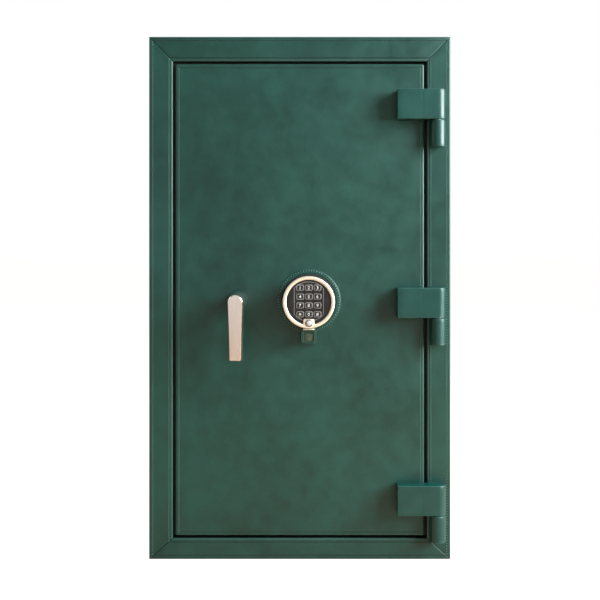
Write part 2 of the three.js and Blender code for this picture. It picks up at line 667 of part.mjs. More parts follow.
function addKeypad(door) {
  const group = addGroup(door, KEYPAD_X, FRONT, PIVOT_Z);

  const collar = [[HOUSING_RADIUS + GAP, GAP], [COLLAR_RADIUS, GAP], [COLLAR_RADIUS, COLLAR_THICK],
    [COLLAR_RADIUS - 1, COLLAR_THICK + GAP], [HOUSING_RADIUS + GAP, COLLAR_THICK + GAP], [HOUSING_RADIUS + GAP, GAP]];
  const collarNotch = proud(-DRAWER_HALF - 1, DRAWER_HALF + 1, 0, COLLAR_THICK + 1, -COLLAR_RADIUS - 1, 0);
  add(group, 'keypad_collar', cut(turnedForward(collar, FINE_ROUND), collarNotch), greenLeather);

  const cavity = proud(-DRAWER_HALF - GAP, DRAWER_HALF + GAP, DRAWER_BACK - SLACK, HOUSING_FRONT + 1,
    -HOUSING_RADIUS - 1, DRAWER_TOP + GAP);
  const housing = throughBar(HOUSING_RADIUS, -HOUSING_FRONT, -GAP, FINE_ROUND);
  add(group, 'keypad_housing', cut(housing, cavity), blackPlastic);

  // The ring's section: a rounded outer edge and a slope down to the keys
  const ringBack = HOUSING_FRONT + GAP;
  const ringProfile = [[RING_BORE, ringBack], [RING_RADIUS - 0.6, ringBack], [RING_RADIUS, ringBack + 0.8],
    [RING_RADIUS, RING_FRONT - 1.8], [RING_RADIUS - 1, RING_FRONT - 0.4], [RING_RADIUS - 3, RING_FRONT],
    [RING_BORE + 0.6, RING_FRONT - 1], [RING_BORE, RING_FRONT - 2], [RING_BORE, ringBack]];
  const { half, top, bottom, front } = STATUS_PLATE;
  const plate = proud(-half, half, FACE_FRONT + GAP, front, bottom, top);
  const seat = throughBar(STATUS_RADIUS + GAP, -RING_FRONT - 1, -RING_FRONT + STATUS_DEPTH).translate(0, 0, STATUS_Z);
  add(group, 'bezel_ring', cut(join(turnedForward(ringProfile, FINE_ROUND), plate), seat), paleGold);

  const domeProfile = [[0, 0], [STATUS_RADIUS, 0], [STATUS_RADIUS, 1], [STATUS_RADIUS * 0.8, 2.3],
    [STATUS_RADIUS * 0.4, 3], [0, 3.2]];
  add(group, 'status_window', turnedForward(domeProfile, ROUND), clearDome)
    .position.set(0, -RING_FRONT + STATUS_DEPTH - GAP, STATUS_Z);

  addKeys(group, ringBack);
  addBatteryDrawer(group);
}

function addKeys(group, faceBack) {
  const [wide, tall] = KEY_SIZE;
  const keyShape = roundedRect(-wide / 2, wide / 2, -tall / 2, tall / 2, KEY_ROUND);
  const disc = throughBar(RING_BORE - GAP, -FACE_FRONT, -faceBack, FINE_ROUND);
  const holes = [];
  KEY_NAMES.forEach((row, down) => row.forEach((label, across) => {
    const x = (across - 1) * KEY_PITCH[0];
    const z = KEYS_CENTRE_Z + (1.5 - down) * KEY_PITCH[1];
    const [holeHalf, holeTall] = [wide / 2 + GAP, tall / 2 + GAP];
    const hole = roundedRect(x - holeHalf, x + holeHalf, z - holeTall, z + holeTall, KEY_ROUND + GAP);
    holes.push(frontPlate(hole, -FACE_FRONT - 1, -faceBack + 1, 3));
    add(group, `key_${label}`, frontPlate(keyShape, -KEY_FRONT, -KEY_BACK, 3), blackPlastic)
      .position.set(x, 0, z);
  }));
  add(group, 'keypad_face', cut(disc, ...holes), blackPlastic);
}

function addBatteryDrawer(group) {
  const [wide, thick, tall] = BATTERY;
  const wellBack = DRAWER_BACK + DRAWER_WALL;
  const well = proud(-wide / 2 - SLACK, wide / 2 + SLACK, wellBack, DRAWER_FRONT + 1,
    BATTERY_BOTTOM - SLACK, BATTERY_BOTTOM + tall + SLACK);
  const tabDish = proud(-DRAWER_HALF + DISH.inset, DRAWER_HALF - DISH.inset, TAB_FRONT - DISH.depth,
    TAB_FRONT + 1, DISH.bottom, DISH.top);
  const drawer = cut(
    join(
      proud(-DRAWER_HALF, DRAWER_HALF, DRAWER_BACK, DRAWER_FRONT, DRAWER_BOTTOM, DRAWER_TOP),
      proud(-DRAWER_HALF, DRAWER_HALF, DRAWER_BACK, TAB_FRONT, TAB_BOTTOM, DRAWER_BOTTOM + OVERLAP),
    ),
    well,
    tabDish,
  );
  add(group, 'battery_drawer', drawer, greenLeather);
  const cell = frontPlate(roundedRect(-wide / 2, wide / 2, 0, tall, BATTERY_CORNER), -thick, 0);
  add(group, 'battery', cell, batteryWrap).position.set(0, -wellBack - SLACK, BATTERY_BOTTOM);
}

// ---------- assembly ----------

const safe = new THREE.Group();
const carcass = addGroup(safe, 0, 0, 0);
const door = addGroup(safe, 0, 0, 0);

addShells(carcass);
addFrontFrame(carcass);
addFrameLeather(carcass);
addBodyLeather(carcass);
for (const [place, z] of Object.entries(HINGE_HEIGHTS)) {
  addHinge(carcass, door, place, z);
}
addDoorPanels(door);
addBoltworkBox(door);
addBoltwork(door);
addLock(door);
addHandle(door);
addKeypad(door);

export default safe;
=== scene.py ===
"""A leather-covered gun safe: its skins, stitching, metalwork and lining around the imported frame.

Lengths in this file are millimetres unless a comment says otherwise; MM turns them into metres.
"""
import math

import bmesh
import bpy
from mathutils import Matrix, Vector


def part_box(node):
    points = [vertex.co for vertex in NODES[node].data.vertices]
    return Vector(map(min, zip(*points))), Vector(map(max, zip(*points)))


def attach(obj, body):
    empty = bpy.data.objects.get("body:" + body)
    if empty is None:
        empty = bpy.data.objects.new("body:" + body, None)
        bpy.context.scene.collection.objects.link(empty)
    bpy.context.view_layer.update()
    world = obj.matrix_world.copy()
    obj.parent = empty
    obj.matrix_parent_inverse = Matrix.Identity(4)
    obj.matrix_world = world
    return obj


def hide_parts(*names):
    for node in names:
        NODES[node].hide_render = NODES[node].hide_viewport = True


MM = 0.001

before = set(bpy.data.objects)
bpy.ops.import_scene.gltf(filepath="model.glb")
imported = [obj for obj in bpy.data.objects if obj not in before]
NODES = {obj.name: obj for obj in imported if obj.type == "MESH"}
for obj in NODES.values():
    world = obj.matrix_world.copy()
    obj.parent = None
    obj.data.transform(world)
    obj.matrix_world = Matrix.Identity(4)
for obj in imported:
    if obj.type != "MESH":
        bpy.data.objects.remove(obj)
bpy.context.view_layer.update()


# ---------- places taken from the frame ----------

def span(node):
    """Lowest and highest corner of a CAD node, in millimetres."""
    low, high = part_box(node)
    return low / MM, high / MM


def outline_of(node):
    """Left, right, bottom and top of a CAD node, seen from the front."""
    low, high = span(node)
    return low.x, high.x, low.z, high.z


def middle_of(node):
    """A CAD node's middle, seen from the front."""
    x0, x1, z0, z1 = outline_of(node)
    return (x0 + x1) / 2, (z0 + z1) / 2


FRONT = span("frame_leather_left")[0].y
BACK = span("outer_casing")[1].y
LEFT, RIGHT, TOP, BASE = (outline_of(f"frame_leather_{side}") for side in ("left", "right", "top", "bottom"))
# Left, right, bottom and top of the frame's leather, and of the opening that the door fills.
OUTER = (LEFT[0], RIGHT[1], BASE[2], LEFT[3])
OPENING = (LEFT[1], RIGHT[0], BASE[3], TOP[2])
DOOR = outline_of("door_leather")
KEYPAD_X, KEYPAD_Z = middle_of("bezel_ring")
HANDLE_X, HANDLE_Z = middle_of("handle_rose")


# ---------- node helpers ----------

class Tree:
    """A node tree, with short calls that add nodes to it and join them up."""

    def __init__(self, tree):
        self.tree = tree

    def put(self, value, socket):
        """Link another node's output to a socket, or set the socket to a plain value."""
        if isinstance(value, bpy.types.NodeSocket):
            self.tree.links.new(value, socket)
        else:
            socket.default_value = value

    def add(self, kind, inputs=None, **settings):
        """Add a node: its settings first, because they decide which sockets it has, then its inputs."""
        node = self.tree.nodes.new(kind)
        for name, value in settings.items():
            setattr(node, name, value)
        for socket, value in (inputs or {}).items():
            self.put(value, node.inputs[socket])
        return node

    def ramp(self, value, low, high, start, end):
        """Map a value that runs from start to end onto low to high."""
        node = self.add("ShaderNodeMapRange", {"Value": value, "From Min": start, "From Max": end,
                                               "To Min": low, "To Max": high})
        return node.outputs["Result"]

    def math(self, operation, *values):
        return self.add("ShaderNodeMath", dict(enumerate(values)), operation=operation).outputs["Value"]

    def vector(self, **parts):
        return self.add("ShaderNodeCombineXYZ", parts).outputs["Vector"]


class Shader(Tree):
    """A material with one Principled BSDF; the keywords set its inputs."""

    def __init__(self, name, **constants):
        self.material = bpy.data.materials.new(name)
        self.material.use_nodes = True
        super().__init__(self.material.node_tree)
        self.surface = self.tree.nodes["Principled BSDF"]
        for socket, value in constants.items():
            self.feed(value, socket.replace("_", " "))

    def feed(self, value, socket):
        self.put(value, self.surface.inputs[socket])

    def pattern(self, group, **values):
        """Place a shader group on the piece's own coordinates."""
        where = self.add("ShaderNodeTexCoord").outputs["Object"]
        return self.add("ShaderNodeGroup", {"Position": where, **values}, node_tree=group).outputs

    def tint(self, mask, dark, light):
        """Blend two colours by a mask. Either may be the output of another node."""
        ends = {socket: colour if isinstance(colour, bpy.types.NodeSocket) else (*colour, 1)
                for socket, colour in (("A", dark), ("B", light))}
        mix = self.add("ShaderNodeMix", {**ends, "Factor": mask}, data_type="RGBA")
        return mix.outputs["Result"]

    def bump(self, height, strength, distance):
        node = self.add("ShaderNodeBump", {"Height": height, "Strength": strength, "Distance": distance})
        self.feed(node.outputs["Normal"], "Normal")


class Group(Tree):
    """A shader node group that reads a position and plain numbers, and gives back masks."""

    def __init__(self, name, inputs, outputs):
        super().__init__(bpy.data.node_groups.new(name, "ShaderNodeTree"))
        face = self.tree.interface
        face.new_socket("Position", in_out="INPUT", socket_type="NodeSocketVector")
        for label, value in inputs.items():
            face.new_socket(label, in_out="INPUT", socket_type="NodeSocketFloat").default_value = value
        for label in outputs:
            face.new_socket(label, in_out="OUTPUT", socket_type="NodeSocketFloat")
        self.given = self.add("NodeGroupInput").outputs
        self.result = self.add("NodeGroupOutput")

    def noise(self, scale, detail=2.0, roughness=0.5, where=None):
        node = self.add("ShaderNodeTexNoise", {"Vector": where or self.given["Position"], "Scale": scale,
                                               "Detail": detail, "Roughness": roughness})
        return node.outputs["Fac"]

    def out(self, label, value):
        self.put(value, self.result.inputs[label])


# Noise and cell scales below count features per metre.

def leather_grain_group():
    """Pebbled hide: cells with soft creases between them, fine pores, and slow changes of tone."""
    group = Group("leather_grain", {"Cells": 750.0, "Crease": 0.5}, ["Height", "Tone", "Valley Shade"])
    calc = group.math
    cell_wander = 0.0012
    warp = group.add("ShaderNodeTexNoise", {"Vector": group.given["Position"], "Scale": 260.0})
    wandered = group.add("ShaderNodeVectorMath", {0: warp.outputs["Color"], 1: (cell_wander,) * 3,
                                                  2: group.given["Position"]}, operation="MULTIPLY_ADD")
    cells = group.add("ShaderNodeTexVoronoi", {"Vector": wandered.outputs["Vector"],
                                               "Scale": group.given["Cells"]}, feature="DISTANCE_TO_EDGE")
    risen = calc("MINIMUM", calc("MULTIPLY", cells.outputs["Distance"], 3.2), 1.0)
    domes = calc("POWER", risen, 0.6)
    pores = group.noise(2600.0, 1.0)
    folds = group.noise(95.0, 4.0, 0.62)
    creases = calc("MULTIPLY", calc("ABSOLUTE", calc("SUBTRACT", folds, 0.5)), 3.0)
    height = calc("ADD", calc("MULTIPLY", domes, 0.62), calc("MULTIPLY", pores, 0.18))
    group.out("Height", calc("ADD", height, calc("MULTIPLY", creases, group.given["Crease"])))
    slow, middle = group.noise(7.0, 3.0, 0.55), group.noise(38.0, 4.0, 0.6)
    group.out("Tone", calc("ADD", calc("MULTIPLY", slow, 0.55), calc("MULTIPLY", middle, 0.45)))
    # The valleys between the cells, used for painted shade in the hide's colour.
    group.out("Valley Shade", calc("SUBTRACT", 1.0, domes))
    return group.tree


def metal_marks_group():
    """Faint handling marks: long scratches up and down the piece, and cloudy smudges."""
    group = Group("metal_marks", {"Along": 12.0, "Across": 900.0}, ["Scratch", "Smudge"])
    split = group.add("ShaderNodeSeparateXYZ", {"Vector": group.given["Position"]}).outputs
    scales = {"X": "Across", "Y": "Across", "Z": "Along"}
    stretched = group.vector(**{axis: group.math("MULTIPLY", split[axis], group.given[scale])
                                for axis, scale in scales.items()})
    group.out("Scratch", group.noise(1.0, 3.0, 0.7, stretched))
    group.out("Smudge", group.noise(30.0, 4.0, 0.6))
    return group.tree


def speckle_group():
    """Speckle for moulded plastic, paint and rubber."""
    group = Group("fine_speckle", {"Size": 1800.0}, ["Speckle", "Cloud"])
    group.out("Speckle", group.noise(group.given["Size"], 2.0, 0.7))
    group.out("Cloud", group.noise(18.0, 3.0, 0.6))
    return group.tree


def nap_group():
    """Brushed suede: short nap lying in soft patches."""
    group = Group("suede_nap", {}, ["Height", "Patch"])
    group.out("Height", group.noise(1500.0, 3.0, 0.75))
    group.out("Patch", group.noise(22.0, 4.0, 0.65))
    return group.tree


GRAIN = leather_grain_group()
MARKS = metal_marks_group()
SPECKLE = speckle_group()
NAP = nap_group()


# ---------- materials ----------

# Bump depths below are in metres.

def leather(name, dark, light, rubbed, roughness=0.42, cells=750.0, gloss=0.5, coat=0.0):
    """Green hide: tone drifts slowly, grain valleys are darker as painted shade, and edges are paler: partly
    wear, partly painted highlight.
    """
    shader = Shader(name, Specular_IOR_Level=gloss, Coat_Weight=coat, Coat_Roughness=0.12)
    grain = shader.pattern(GRAIN, Cells=cells, Crease=0.16)
    base = shader.tint(shader.ramp(grain["Tone"], 0.0, 1.0, 0.36, 0.64), dark, light)
    # Darker in the grain's valleys: painted shade.
    valley_shade_colour = tuple(channel * 0.45 for channel in dark)
    valley_shaded = shader.tint(shader.ramp(grain["Valley Shade"], 0.0, 0.55, 0.1, 1.0), base, valley_shade_colour)
    # Paler edges from the edge attribute: worn hide, and a painted highlight where edges face the light.
    wear_and_shine = shader.add("ShaderNodeAttribute", attribute_name="rub").outputs["Fac"]
    shader.feed(shader.tint(shader.ramp(wear_and_shine, 0.0, 0.7, 0.0, 1.0), valley_shaded, rubbed), "Base Color")
    shader.feed(shader.ramp(grain["Tone"], roughness - 0.08, roughness + 0.08, 0.35, 0.65), "Roughness")
    shader.bump(grain["Height"], 0.5, 0.00022)
    return shader.material


def thread(name, dark, light, gloss):
    """Twisted waxed thread."""
    shader = Shader(name, Roughness=0.36, Specular_IOR_Level=gloss)
    speckle = shader.pattern(SPECKLE, Size=2400.0)["Speckle"]
    shader.feed(shader.tint(speckle, dark, light), "Base Color")
    shader.bump(speckle, 0.4, 0.0001)
    return shader.material


def polished_gold(name, dark, light, smooth=0.18, rough=0.28):
    """Plated metal, smudged by hands and lightly scratched."""
    shader = Shader(name, Metallic=1.0)
    marks = shader.pattern(MARKS, Along=15.0, Across=1400.0)
    shader.feed(shader.tint(shader.ramp(marks["Smudge"], 0.0, 1.0, 0.35, 0.65), dark, light), "Base Color")
    shader.feed(shader.ramp(marks["Scratch"], smooth, rough, 0.3, 0.7), "Roughness")
    shader.bump(marks["Scratch"], 0.05, 0.00005)
    return shader.material


def brushed_metal(name, dark, light, low, high):
    """Steel with a brushed grain and cloudy gloss."""
    shader = Shader(name, Metallic=1.0)
    marks = shader.pattern(MARKS, Along=20.0, Across=1500.0)
    shader.feed(shader.tint(shader.ramp(marks["Scratch"], 0.0, 1.0, 0.3, 0.7), dark, light), "Base Color")
    shader.feed(shader.ramp(marks["Smudge"], low, high, 0.35, 0.65), "Roughness")
    shader.bump(marks["Scratch"], 0.12, 0.00008)
    return shader.material


def speckled(name, dark, light, low, high, size=1800.0, bump=0.2, depth=0.00012, **constants):
    """Paint, plastic, rubber and board: a speckled surface with cloudy gloss."""
    shader = Shader(name, **constants)
    speckle = shader.pattern(SPECKLE, Size=size)
    shader.feed(shader.tint(shader.ramp(speckle["Cloud"], 0.0, 1.0, 0.35, 0.65), dark, light), "Base Color")
    shader.feed(shader.ramp(speckle["Speckle"], low, high, 0.3, 0.7), "Roughness")
    shader.bump(speckle["Speckle"], bump, depth)
    return shader.material


def suede(name, dark, light):
    """Brushed lining cloth."""
    shader = Shader(name, Specular_IOR_Level=0.1, Sheen_Weight=0.35, Sheen_Roughness=0.5)
    nap = shader.pattern(NAP)
    shader.feed(shader.tint(shader.ramp(nap["Patch"], 0.0, 1.0, 0.32, 0.68), dark, light), "Base Color")
    shader.feed(shader.ramp(nap["Height"], 0.85, 1.0, 0.3, 0.7), "Roughness")
    shader.bump(nap["Height"], 0.5, 0.0003)
    return shader.material


HIDE = leather("green_hide", (0.0006, 0.033, 0.026), (0.0040, 0.064, 0.050), (0.03, 0.085, 0.072))
HINGE_HIDE = leather("green_hinge_hide", (0.0006, 0.036, 0.031), (0.0030, 0.056, 0.048),
                     (0.02, 0.085, 0.075), roughness=0.34, cells=900.0, gloss=0.38, coat=0.16)
# The tab's olive is its own colour, made lighter as painted light to offset the shade in its recess.
TAB_HIDE = leather("olive_tab_hide", (0.040, 0.062, 0.034), (0.060, 0.086, 0.050), (0.09, 0.12, 0.08))
# One thread, lit and shaded: the paler copy is a painted highlight on upright rows, the darker copy painted
# shade on level rows.
LIT_THREAD = thread("green_thread", (0.06, 0.19, 0.165), (0.12, 0.30, 0.265), 0.5)
SHADED_THREAD = thread("dark_green_thread", (0.004, 0.030, 0.024), (0.010, 0.050, 0.041), 0.3)
# Near-black dimples at the needle holes: painted shade in the holes.
HOLE_SHADE = speckled("needle_hole", (0.001, 0.004, 0.003), (0.002, 0.007, 0.005), 0.8, 0.95)
GOLD = polished_gold("rose_gold", (0.92, 0.82, 0.77), (0.95, 0.87, 0.82))
CHAMPAGNE = polished_gold("champagne_gold", (0.90, 0.82, 0.69), (0.95, 0.88, 0.76), 0.48, 0.56)
STEEL = brushed_metal("bare_steel", (0.38, 0.39, 0.40), (0.58, 0.59, 0.60), 0.28, 0.42)
CHROME = brushed_metal("bolt_chrome", (0.62, 0.62, 0.63), (0.74, 0.74, 0.75), 0.12, 0.2)
PAINT = speckled("black_powder_coat", (0.010, 0.014, 0.013), (0.018, 0.023, 0.021), 0.42, 0.58,
                 size=1400.0, bump=0.35)
BOARD = speckled("fire_board", (0.40, 0.37, 0.33), (0.52, 0.49, 0.44), 0.85, 0.95, size=500.0, depth=0.0004)
SEAL = speckled("seal_rubber", (0.006, 0.006, 0.006), (0.012, 0.012, 0.012), 0.7, 0.85)
PLASTIC = speckled("black_plastic", (0.006, 0.006, 0.007), (0.012, 0.012, 0.013), 0.32, 0.45, size=2600.0,
                   bump=0.15, depth=0.00005)
RIM = speckled("grey_print", (0.16, 0.155, 0.16), (0.24, 0.23, 0.235), 0.35, 0.45, size=2600.0, bump=0.1,
               depth=0.00003)
DIGIT = speckled("white_print", (0.62, 0.62, 0.63), (0.72, 0.72, 0.73), 0.4, 0.5, size=2600.0, bump=0.1,
                 depth=0.00003)
DOME = speckled("silver_dome", (0.42, 0.42, 0.44), (0.60, 0.60, 0.62), 0.1, 0.16, size=1200.0, bump=0.03,
                depth=0.00003, Coat_Weight=1.0)
BATTERY = speckled("battery_wrap", (0.020, 0.022, 0.028), (0.035, 0.038, 0.045), 0.25, 0.35, bump=0.03)
# Black on the hide turned into the door gap: painted shade, so the gap reads dark.
GAP_PAINTED_SHADE = speckled("black_edge_paint", (0.004, 0.005, 0.005), (0.008, 0.010, 0.009), 0.5, 0.65)
SUEDE = suede("sand_suede", (0.29, 0.215, 0.135), (0.42, 0.32, 0.21))


# ---------- mesh helpers ----------

SMOOTH_ANGLE = math.radians(38)  # softer edges than this are shaded smooth
WELD = 1e-6  # metres
CAD_WELD = 2e-6  # metres
FLAT = math.radians(0.5)  # faces that meet at less than this were one flat face
HARD_EDGE = math.radians(35)  # edges of a CAD node sharper than this are rounded
TIGHTEST_CORNER = 0.15


def piece(name, bm, materials, body, stands_for=()):
    """Close off a mesh built in bmesh as a finished piece that rides on a body."""
    bmesh.ops.remove_doubles(bm, verts=bm.verts, dist=WELD)
    bmesh.ops.recalc_face_normals(bm, faces=bm.faces)
    mesh = bpy.data.meshes.new(name)
    bm.to_mesh(mesh)
    bm.free()
    for material in materials:
        mesh.materials.append(material)
    mesh.shade_smooth()
    mesh.set_sharp_from_angle(angle=SMOOTH_ANGLE)
    obj = placed(name, mesh)
    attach(obj, body)
    if stands_for:
        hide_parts(*stands_for)


def placed(name, data):
    """A new object in the scene for a mesh, a light, a camera or a curve."""
    obj = bpy.data.objects.new(name, data)
    bpy.context.scene.collection.objects.link(obj)
    return obj


def skin(bm, rings, wrap=False, around=True, bands=None, rub=None):
    """Join rings of points, in order, with quads. The end rings are filled unless the skin wraps round to its
    start. bands gives each gap between rings a material index; the edge list gives each ring how much paler its
    hide is, for wear and painted highlight."""
    layer = bm.verts.layers.float.get("rub") or bm.verts.layers.float.new("rub")
    rows = []
    for index, ring in enumerate(rings):
        row = [bm.verts.new(Vector(point) * MM) for point in ring]
        for vert in row:
            vert[layer] = rub[index] if rub else 0.0
        rows.append(row)
    pairs = list(zip(rows, rows[1:] + rows[:1])) if wrap else list(zip(rows, rows[1:]))
    count = len(rows[0])
    for index, (first, second) in enumerate(pairs):
        for i in range(count if around else count - 1):
            j = (i + 1) % count
            face = bm.faces.new((first[i], first[j], second[j], second[i]))
            face.material_index = bands[index] if bands else 0
    if not wrap:
        for row, band in ((rows[0], 0), (rows[-1], -1)):
            face = bm.faces.new(row)
            face.material_index = bands[band] if bands else 0
    return rows


def quarter_round(radius, steps=5):
    """A rounded edge from the side face to the front: inset, depth and paleness of each point, palest midway
    round, for wear and a painted highlight.
    """
    turns = [math.pi / 2 * step / steps for step in range(steps + 1)]
    return [(radius * (1 - math.cos(turn)), radius * (1 - math.sin(turn)), math.sin(2 * turn))
            for turn in turns]


def arc(centre, radius, start, end, steps):
    """Points along an arc, with angles in degrees."""
    turns = [math.radians(start + (end - start) * step / steps) for step in range(steps + 1)]
    return [(centre[0] + radius * math.cos(turn), centre[1] + radius * math.sin(turn)) for turn in turns]


def rounded_corners(u0, u1, v0, v1, radius, inset=0.0, corner_steps=5):
    """The four corner arcs of a rounded rectangle drawn inside by the inset, from the lower right
    round to the lower left."""
    bend = max(radius - inset, TIGHTEST_CORNER)
    corners = []
    for u, v, start in ((u1, v0, -90), (u1, v1, 0), (u0, v1, 90), (u0, v0, 180)):
        centre = (u - math.copysign(inset + bend, u - (u0 + u1) / 2),
                  v - math.copysign(inset + bend, v - (v0 + v1) / 2))
        corners.append(arc(centre, bend, start, start + 90, corner_steps))
    return corners


def rounded_rect(*shape):
    """Points of a rounded rectangle, from the same sizes as rounded_corners."""
    return [point for corner in rounded_corners(*shape) for point in corner]


def offset(points, inset):
    """A closed outline drawn inside itself by the inset."""
    moved = []
    count = len(points)
    for i in range(count):
        before, here, after = (Vector(points[(i + k) % count]) for k in (-1, 0, 1))
        first, second = (here - before).normalized(), (after - here).normalized()
        inward = Vector((-first.y, first.x)) + Vector((-second.y, second.x))
        inward.normalize()
        spread = max(inward.dot(Vector((-first.y, first.x))), 0.5)
        moved.append(tuple(here + inward * inset / spread))
    return moved


def face_on(points, proud):
    """Lay an outline of x and z parallel to the safe's front, so far in front of the leather."""
    return [(u, FRONT - proud, v) for u, v in points]


def turned(bm, centre, profile, sides=96, **finish):
    """Turn a profile of radius and proud height round an axis that faces the front."""
    rings = [face_on(arc(centre, radius, 0, 360, sides)[:-1], proud) for radius, proud in profile]
    skin(bm, rings, **finish)


def solid_box(bm, low, high):
    (x0, y0, z0), (x1, y1, z1) = low, high
    skin(bm, [[(x0, y0, z), (x1, y0, z), (x1, y1, z), (x0, y1, z)] for z in (z0, z1)])


def copy_of(node):
    """A CAD node's mesh with its loose triangles welded and its flat faces whole again."""
    bm = bmesh.new()
    bm.from_mesh(NODES[node].data)
    bmesh.ops.remove_doubles(bm, verts=bm.verts, dist=CAD_WELD)
    bmesh.ops.dissolve_limit(bm, angle_limit=FLAT, verts=bm.verts, edges=bm.edges)
    return bm


def refined(node, material, body, edge=0.4, steps=2, name=None):
    """A CAD node's shape with its hard edges rounded and its curved faces smooth."""
    bm = copy_of(node)
    edges = [e for e in bm.edges if len(e.link_faces) == 2 and e.calc_face_angle(0) > HARD_EDGE]
    bmesh.ops.bevel(bm, geom=edges, offset=edge * MM, segments=steps, profile=0.5, affect="EDGES",
                    clamp_overlap=True)
    piece(name or f"{node}_finished", bm, [material], body, [node])


# ---------- leather over the steel ----------

STITCH_INSET = 6.3  # outer rows, from the frame's outer edge
GAP_STITCH_INSET = 5.4  # inner rows, from the frame's edge at the door gap
DOOR_STITCH_INSET = 5.8
STITCH_DIP = 0.14  # how far a row of stitches is pulled down
EDGE_BAND = 3.3  # from the seam beside the door gap to the opening
RETURN_DEPTH = 8  # how far the frame's leather is turned back round the sides
GAP_RETURN = 12  # how far it is turned into the door gap
DOOR_RETURN = 14  # how far the door's leather is turned back round its plate
WRAP_ROW = RETURN_DEPTH + 4.5  # the body's row of stitches, behind the front
HIDE_THICK = 3
HIDE_INSIDE = 2.6  # inner face of the leather on the body, from its outer face
EDGE_ROUND = 2.2
BODY_CORNER = 2.4


def stitch_groove(centre):
    """The shallow channel that a row of stitches is pulled down into."""
    brim, floor = 0.9, 0.35
    return [(centre - brim, 0, 0), (centre - floor, STITCH_DIP, 0), (centre + floor, STITCH_DIP, 0),
            (centre + brim, 0, 0)]


def swept(bm, section, outline, bands=None):
    """Carry a closed section of inset, depth and paleness (wear and painted highlight) along an open outline
    drawn at each inset.
    """
    rings = [[(u, FRONT + depth + push, v) for u, v, push in outline(inset)] for inset, depth, _ in section]
    rows = skin(bm, rings, wrap=True, around=False, bands=bands, rub=[wear_and_shine for *_, wear_and_shine in section])
    for end in (0, -1):
        bm.faces.new([row[end] for row in rows])


def mitred(start, start_inner, end, end_inner, wide):
    """An outline that runs along one side of the frame from mitre to mitre, where it dips into the seam."""
    start, start_inner, end, end_inner = map(Vector, (start, start_inner, end, end_inner))
    along = (end - start).normalized()
    dips = ((0.0, 1.3), (0.3, 0.75), (0.8, 0.28), (1.5, 0.07), (2.4, 0.0))

    def outline(inset):
        first = start + (start_inner - start) * inset / wide
        last = end + (end_inner - end) * inset / wide
        points = [(first + along * run, push) for run, push in dips]
        points += [(last - along * run, push) for run, push in reversed(dips)]
        return [(point.x, point.y, push) for point, push in points]

    return outline


def strip_section(wide, outer_return):
    """Section of a frame strip: round outer edge, two stitched channels, a seam, and a lip turned
    into the door gap."""
    lip = wide + 1
    seam = wide - EDGE_BAND
    outer_edge = [(0, outer_return, 0)] + quarter_round(EDGE_ROUND)
    # The seam's lip is paler: wear and painted highlight.
    face = (stitch_groove(STITCH_INSET) + [(STITCH_INSET + 2, 0, 0), (wide - GAP_STITCH_INSET - 2, 0, 0)]
            + stitch_groove(wide - GAP_STITCH_INSET)
            + [(seam - 1, 0, 0), (seam - 0.45, 0.08, 0), (seam - 0.05, 0.7, 0), (seam + 0.35, 0.15, 0.5)])
    # The edge at the door gap is paler all round: worn hide and a painted highlight.
    inner_edge = [(lip - inset, depth + 0.1, 0.35 + 0.35 * wear_and_shine)
                  for inset, depth, wear_and_shine in reversed(quarter_round(EDGE_ROUND))]
    behind = [(lip, GAP_RETURN, 0), (wide + 0.1, GAP_RETURN, 0), (wide + 0.1, HIDE_THICK, 0),
              (HIDE_INSIDE, HIDE_THICK, 0)]
    return outer_edge + face + inner_edge + behind + [(HIDE_INSIDE, outer_return, 0)]


def frame_corners():
    """Each mitre's outer and inner end, by corner of the frame."""
    x0, x1, z0, z1 = OUTER
    in_x0, in_x1, in_z0, in_z1 = OPENING
    return {"bl": ((x0, z0), (in_x0, in_z0)), "tl": ((x0, z1), (in_x0, in_z1)),
            "tr": ((x1, z1), (in_x1, in_z1)), "br": ((x1, z0), (in_x1, in_z0))}


def make_frame_strips():
    x0, x1, z0, z1 = OUTER
    in_x0, in_x1, in_z0, in_z1 = OPENING
    corners = frame_corners()
    sides = {"left": ("bl", "tl", in_x0 - x0, RETURN_DEPTH), "top": ("tl", "tr", z1 - in_z1, RETURN_DEPTH),
             "right": ("tr", "br", x1 - in_x1, RETURN_DEPTH),
             "bottom": ("br", "bl", in_z0 - z0, HIDE_THICK + 0.2)}
    for side, (start, end, wide, outer_return) in sides.items():
        outline = mitred(*corners[start], *corners[end], wide)
        section = strip_section(wide, outer_return)
        deepest = [(inset, depth) for inset, depth, _ in section].index((wide + 1, GAP_RETURN))
        bm = bmesh.new()
        # The band that lines the door gap gets the black painted shade.
        swept(bm, section, outline, bands=[int(i == deepest - 1) for i in range(len(section))])
        piece(f"frame_strip_{side}", bm, [HIDE, GAP_PAINTED_SHADE], "carcass",
              [f"frame_leather_{side}"])


def arch(inset):
    """Up the left side, over the top and down the right side of the body."""
    x0, x1, z0, z1 = OUTER
    _, top_right, top_left, _ = rounded_corners(x0, x1, z0, z1, BODY_CORNER, inset)
    points = [(x0 + inset, z0)] + top_left[::-1] + top_right[::-1] + [(x1 - inset, z0)]
    return [(u, v, 0) for u, v in points]


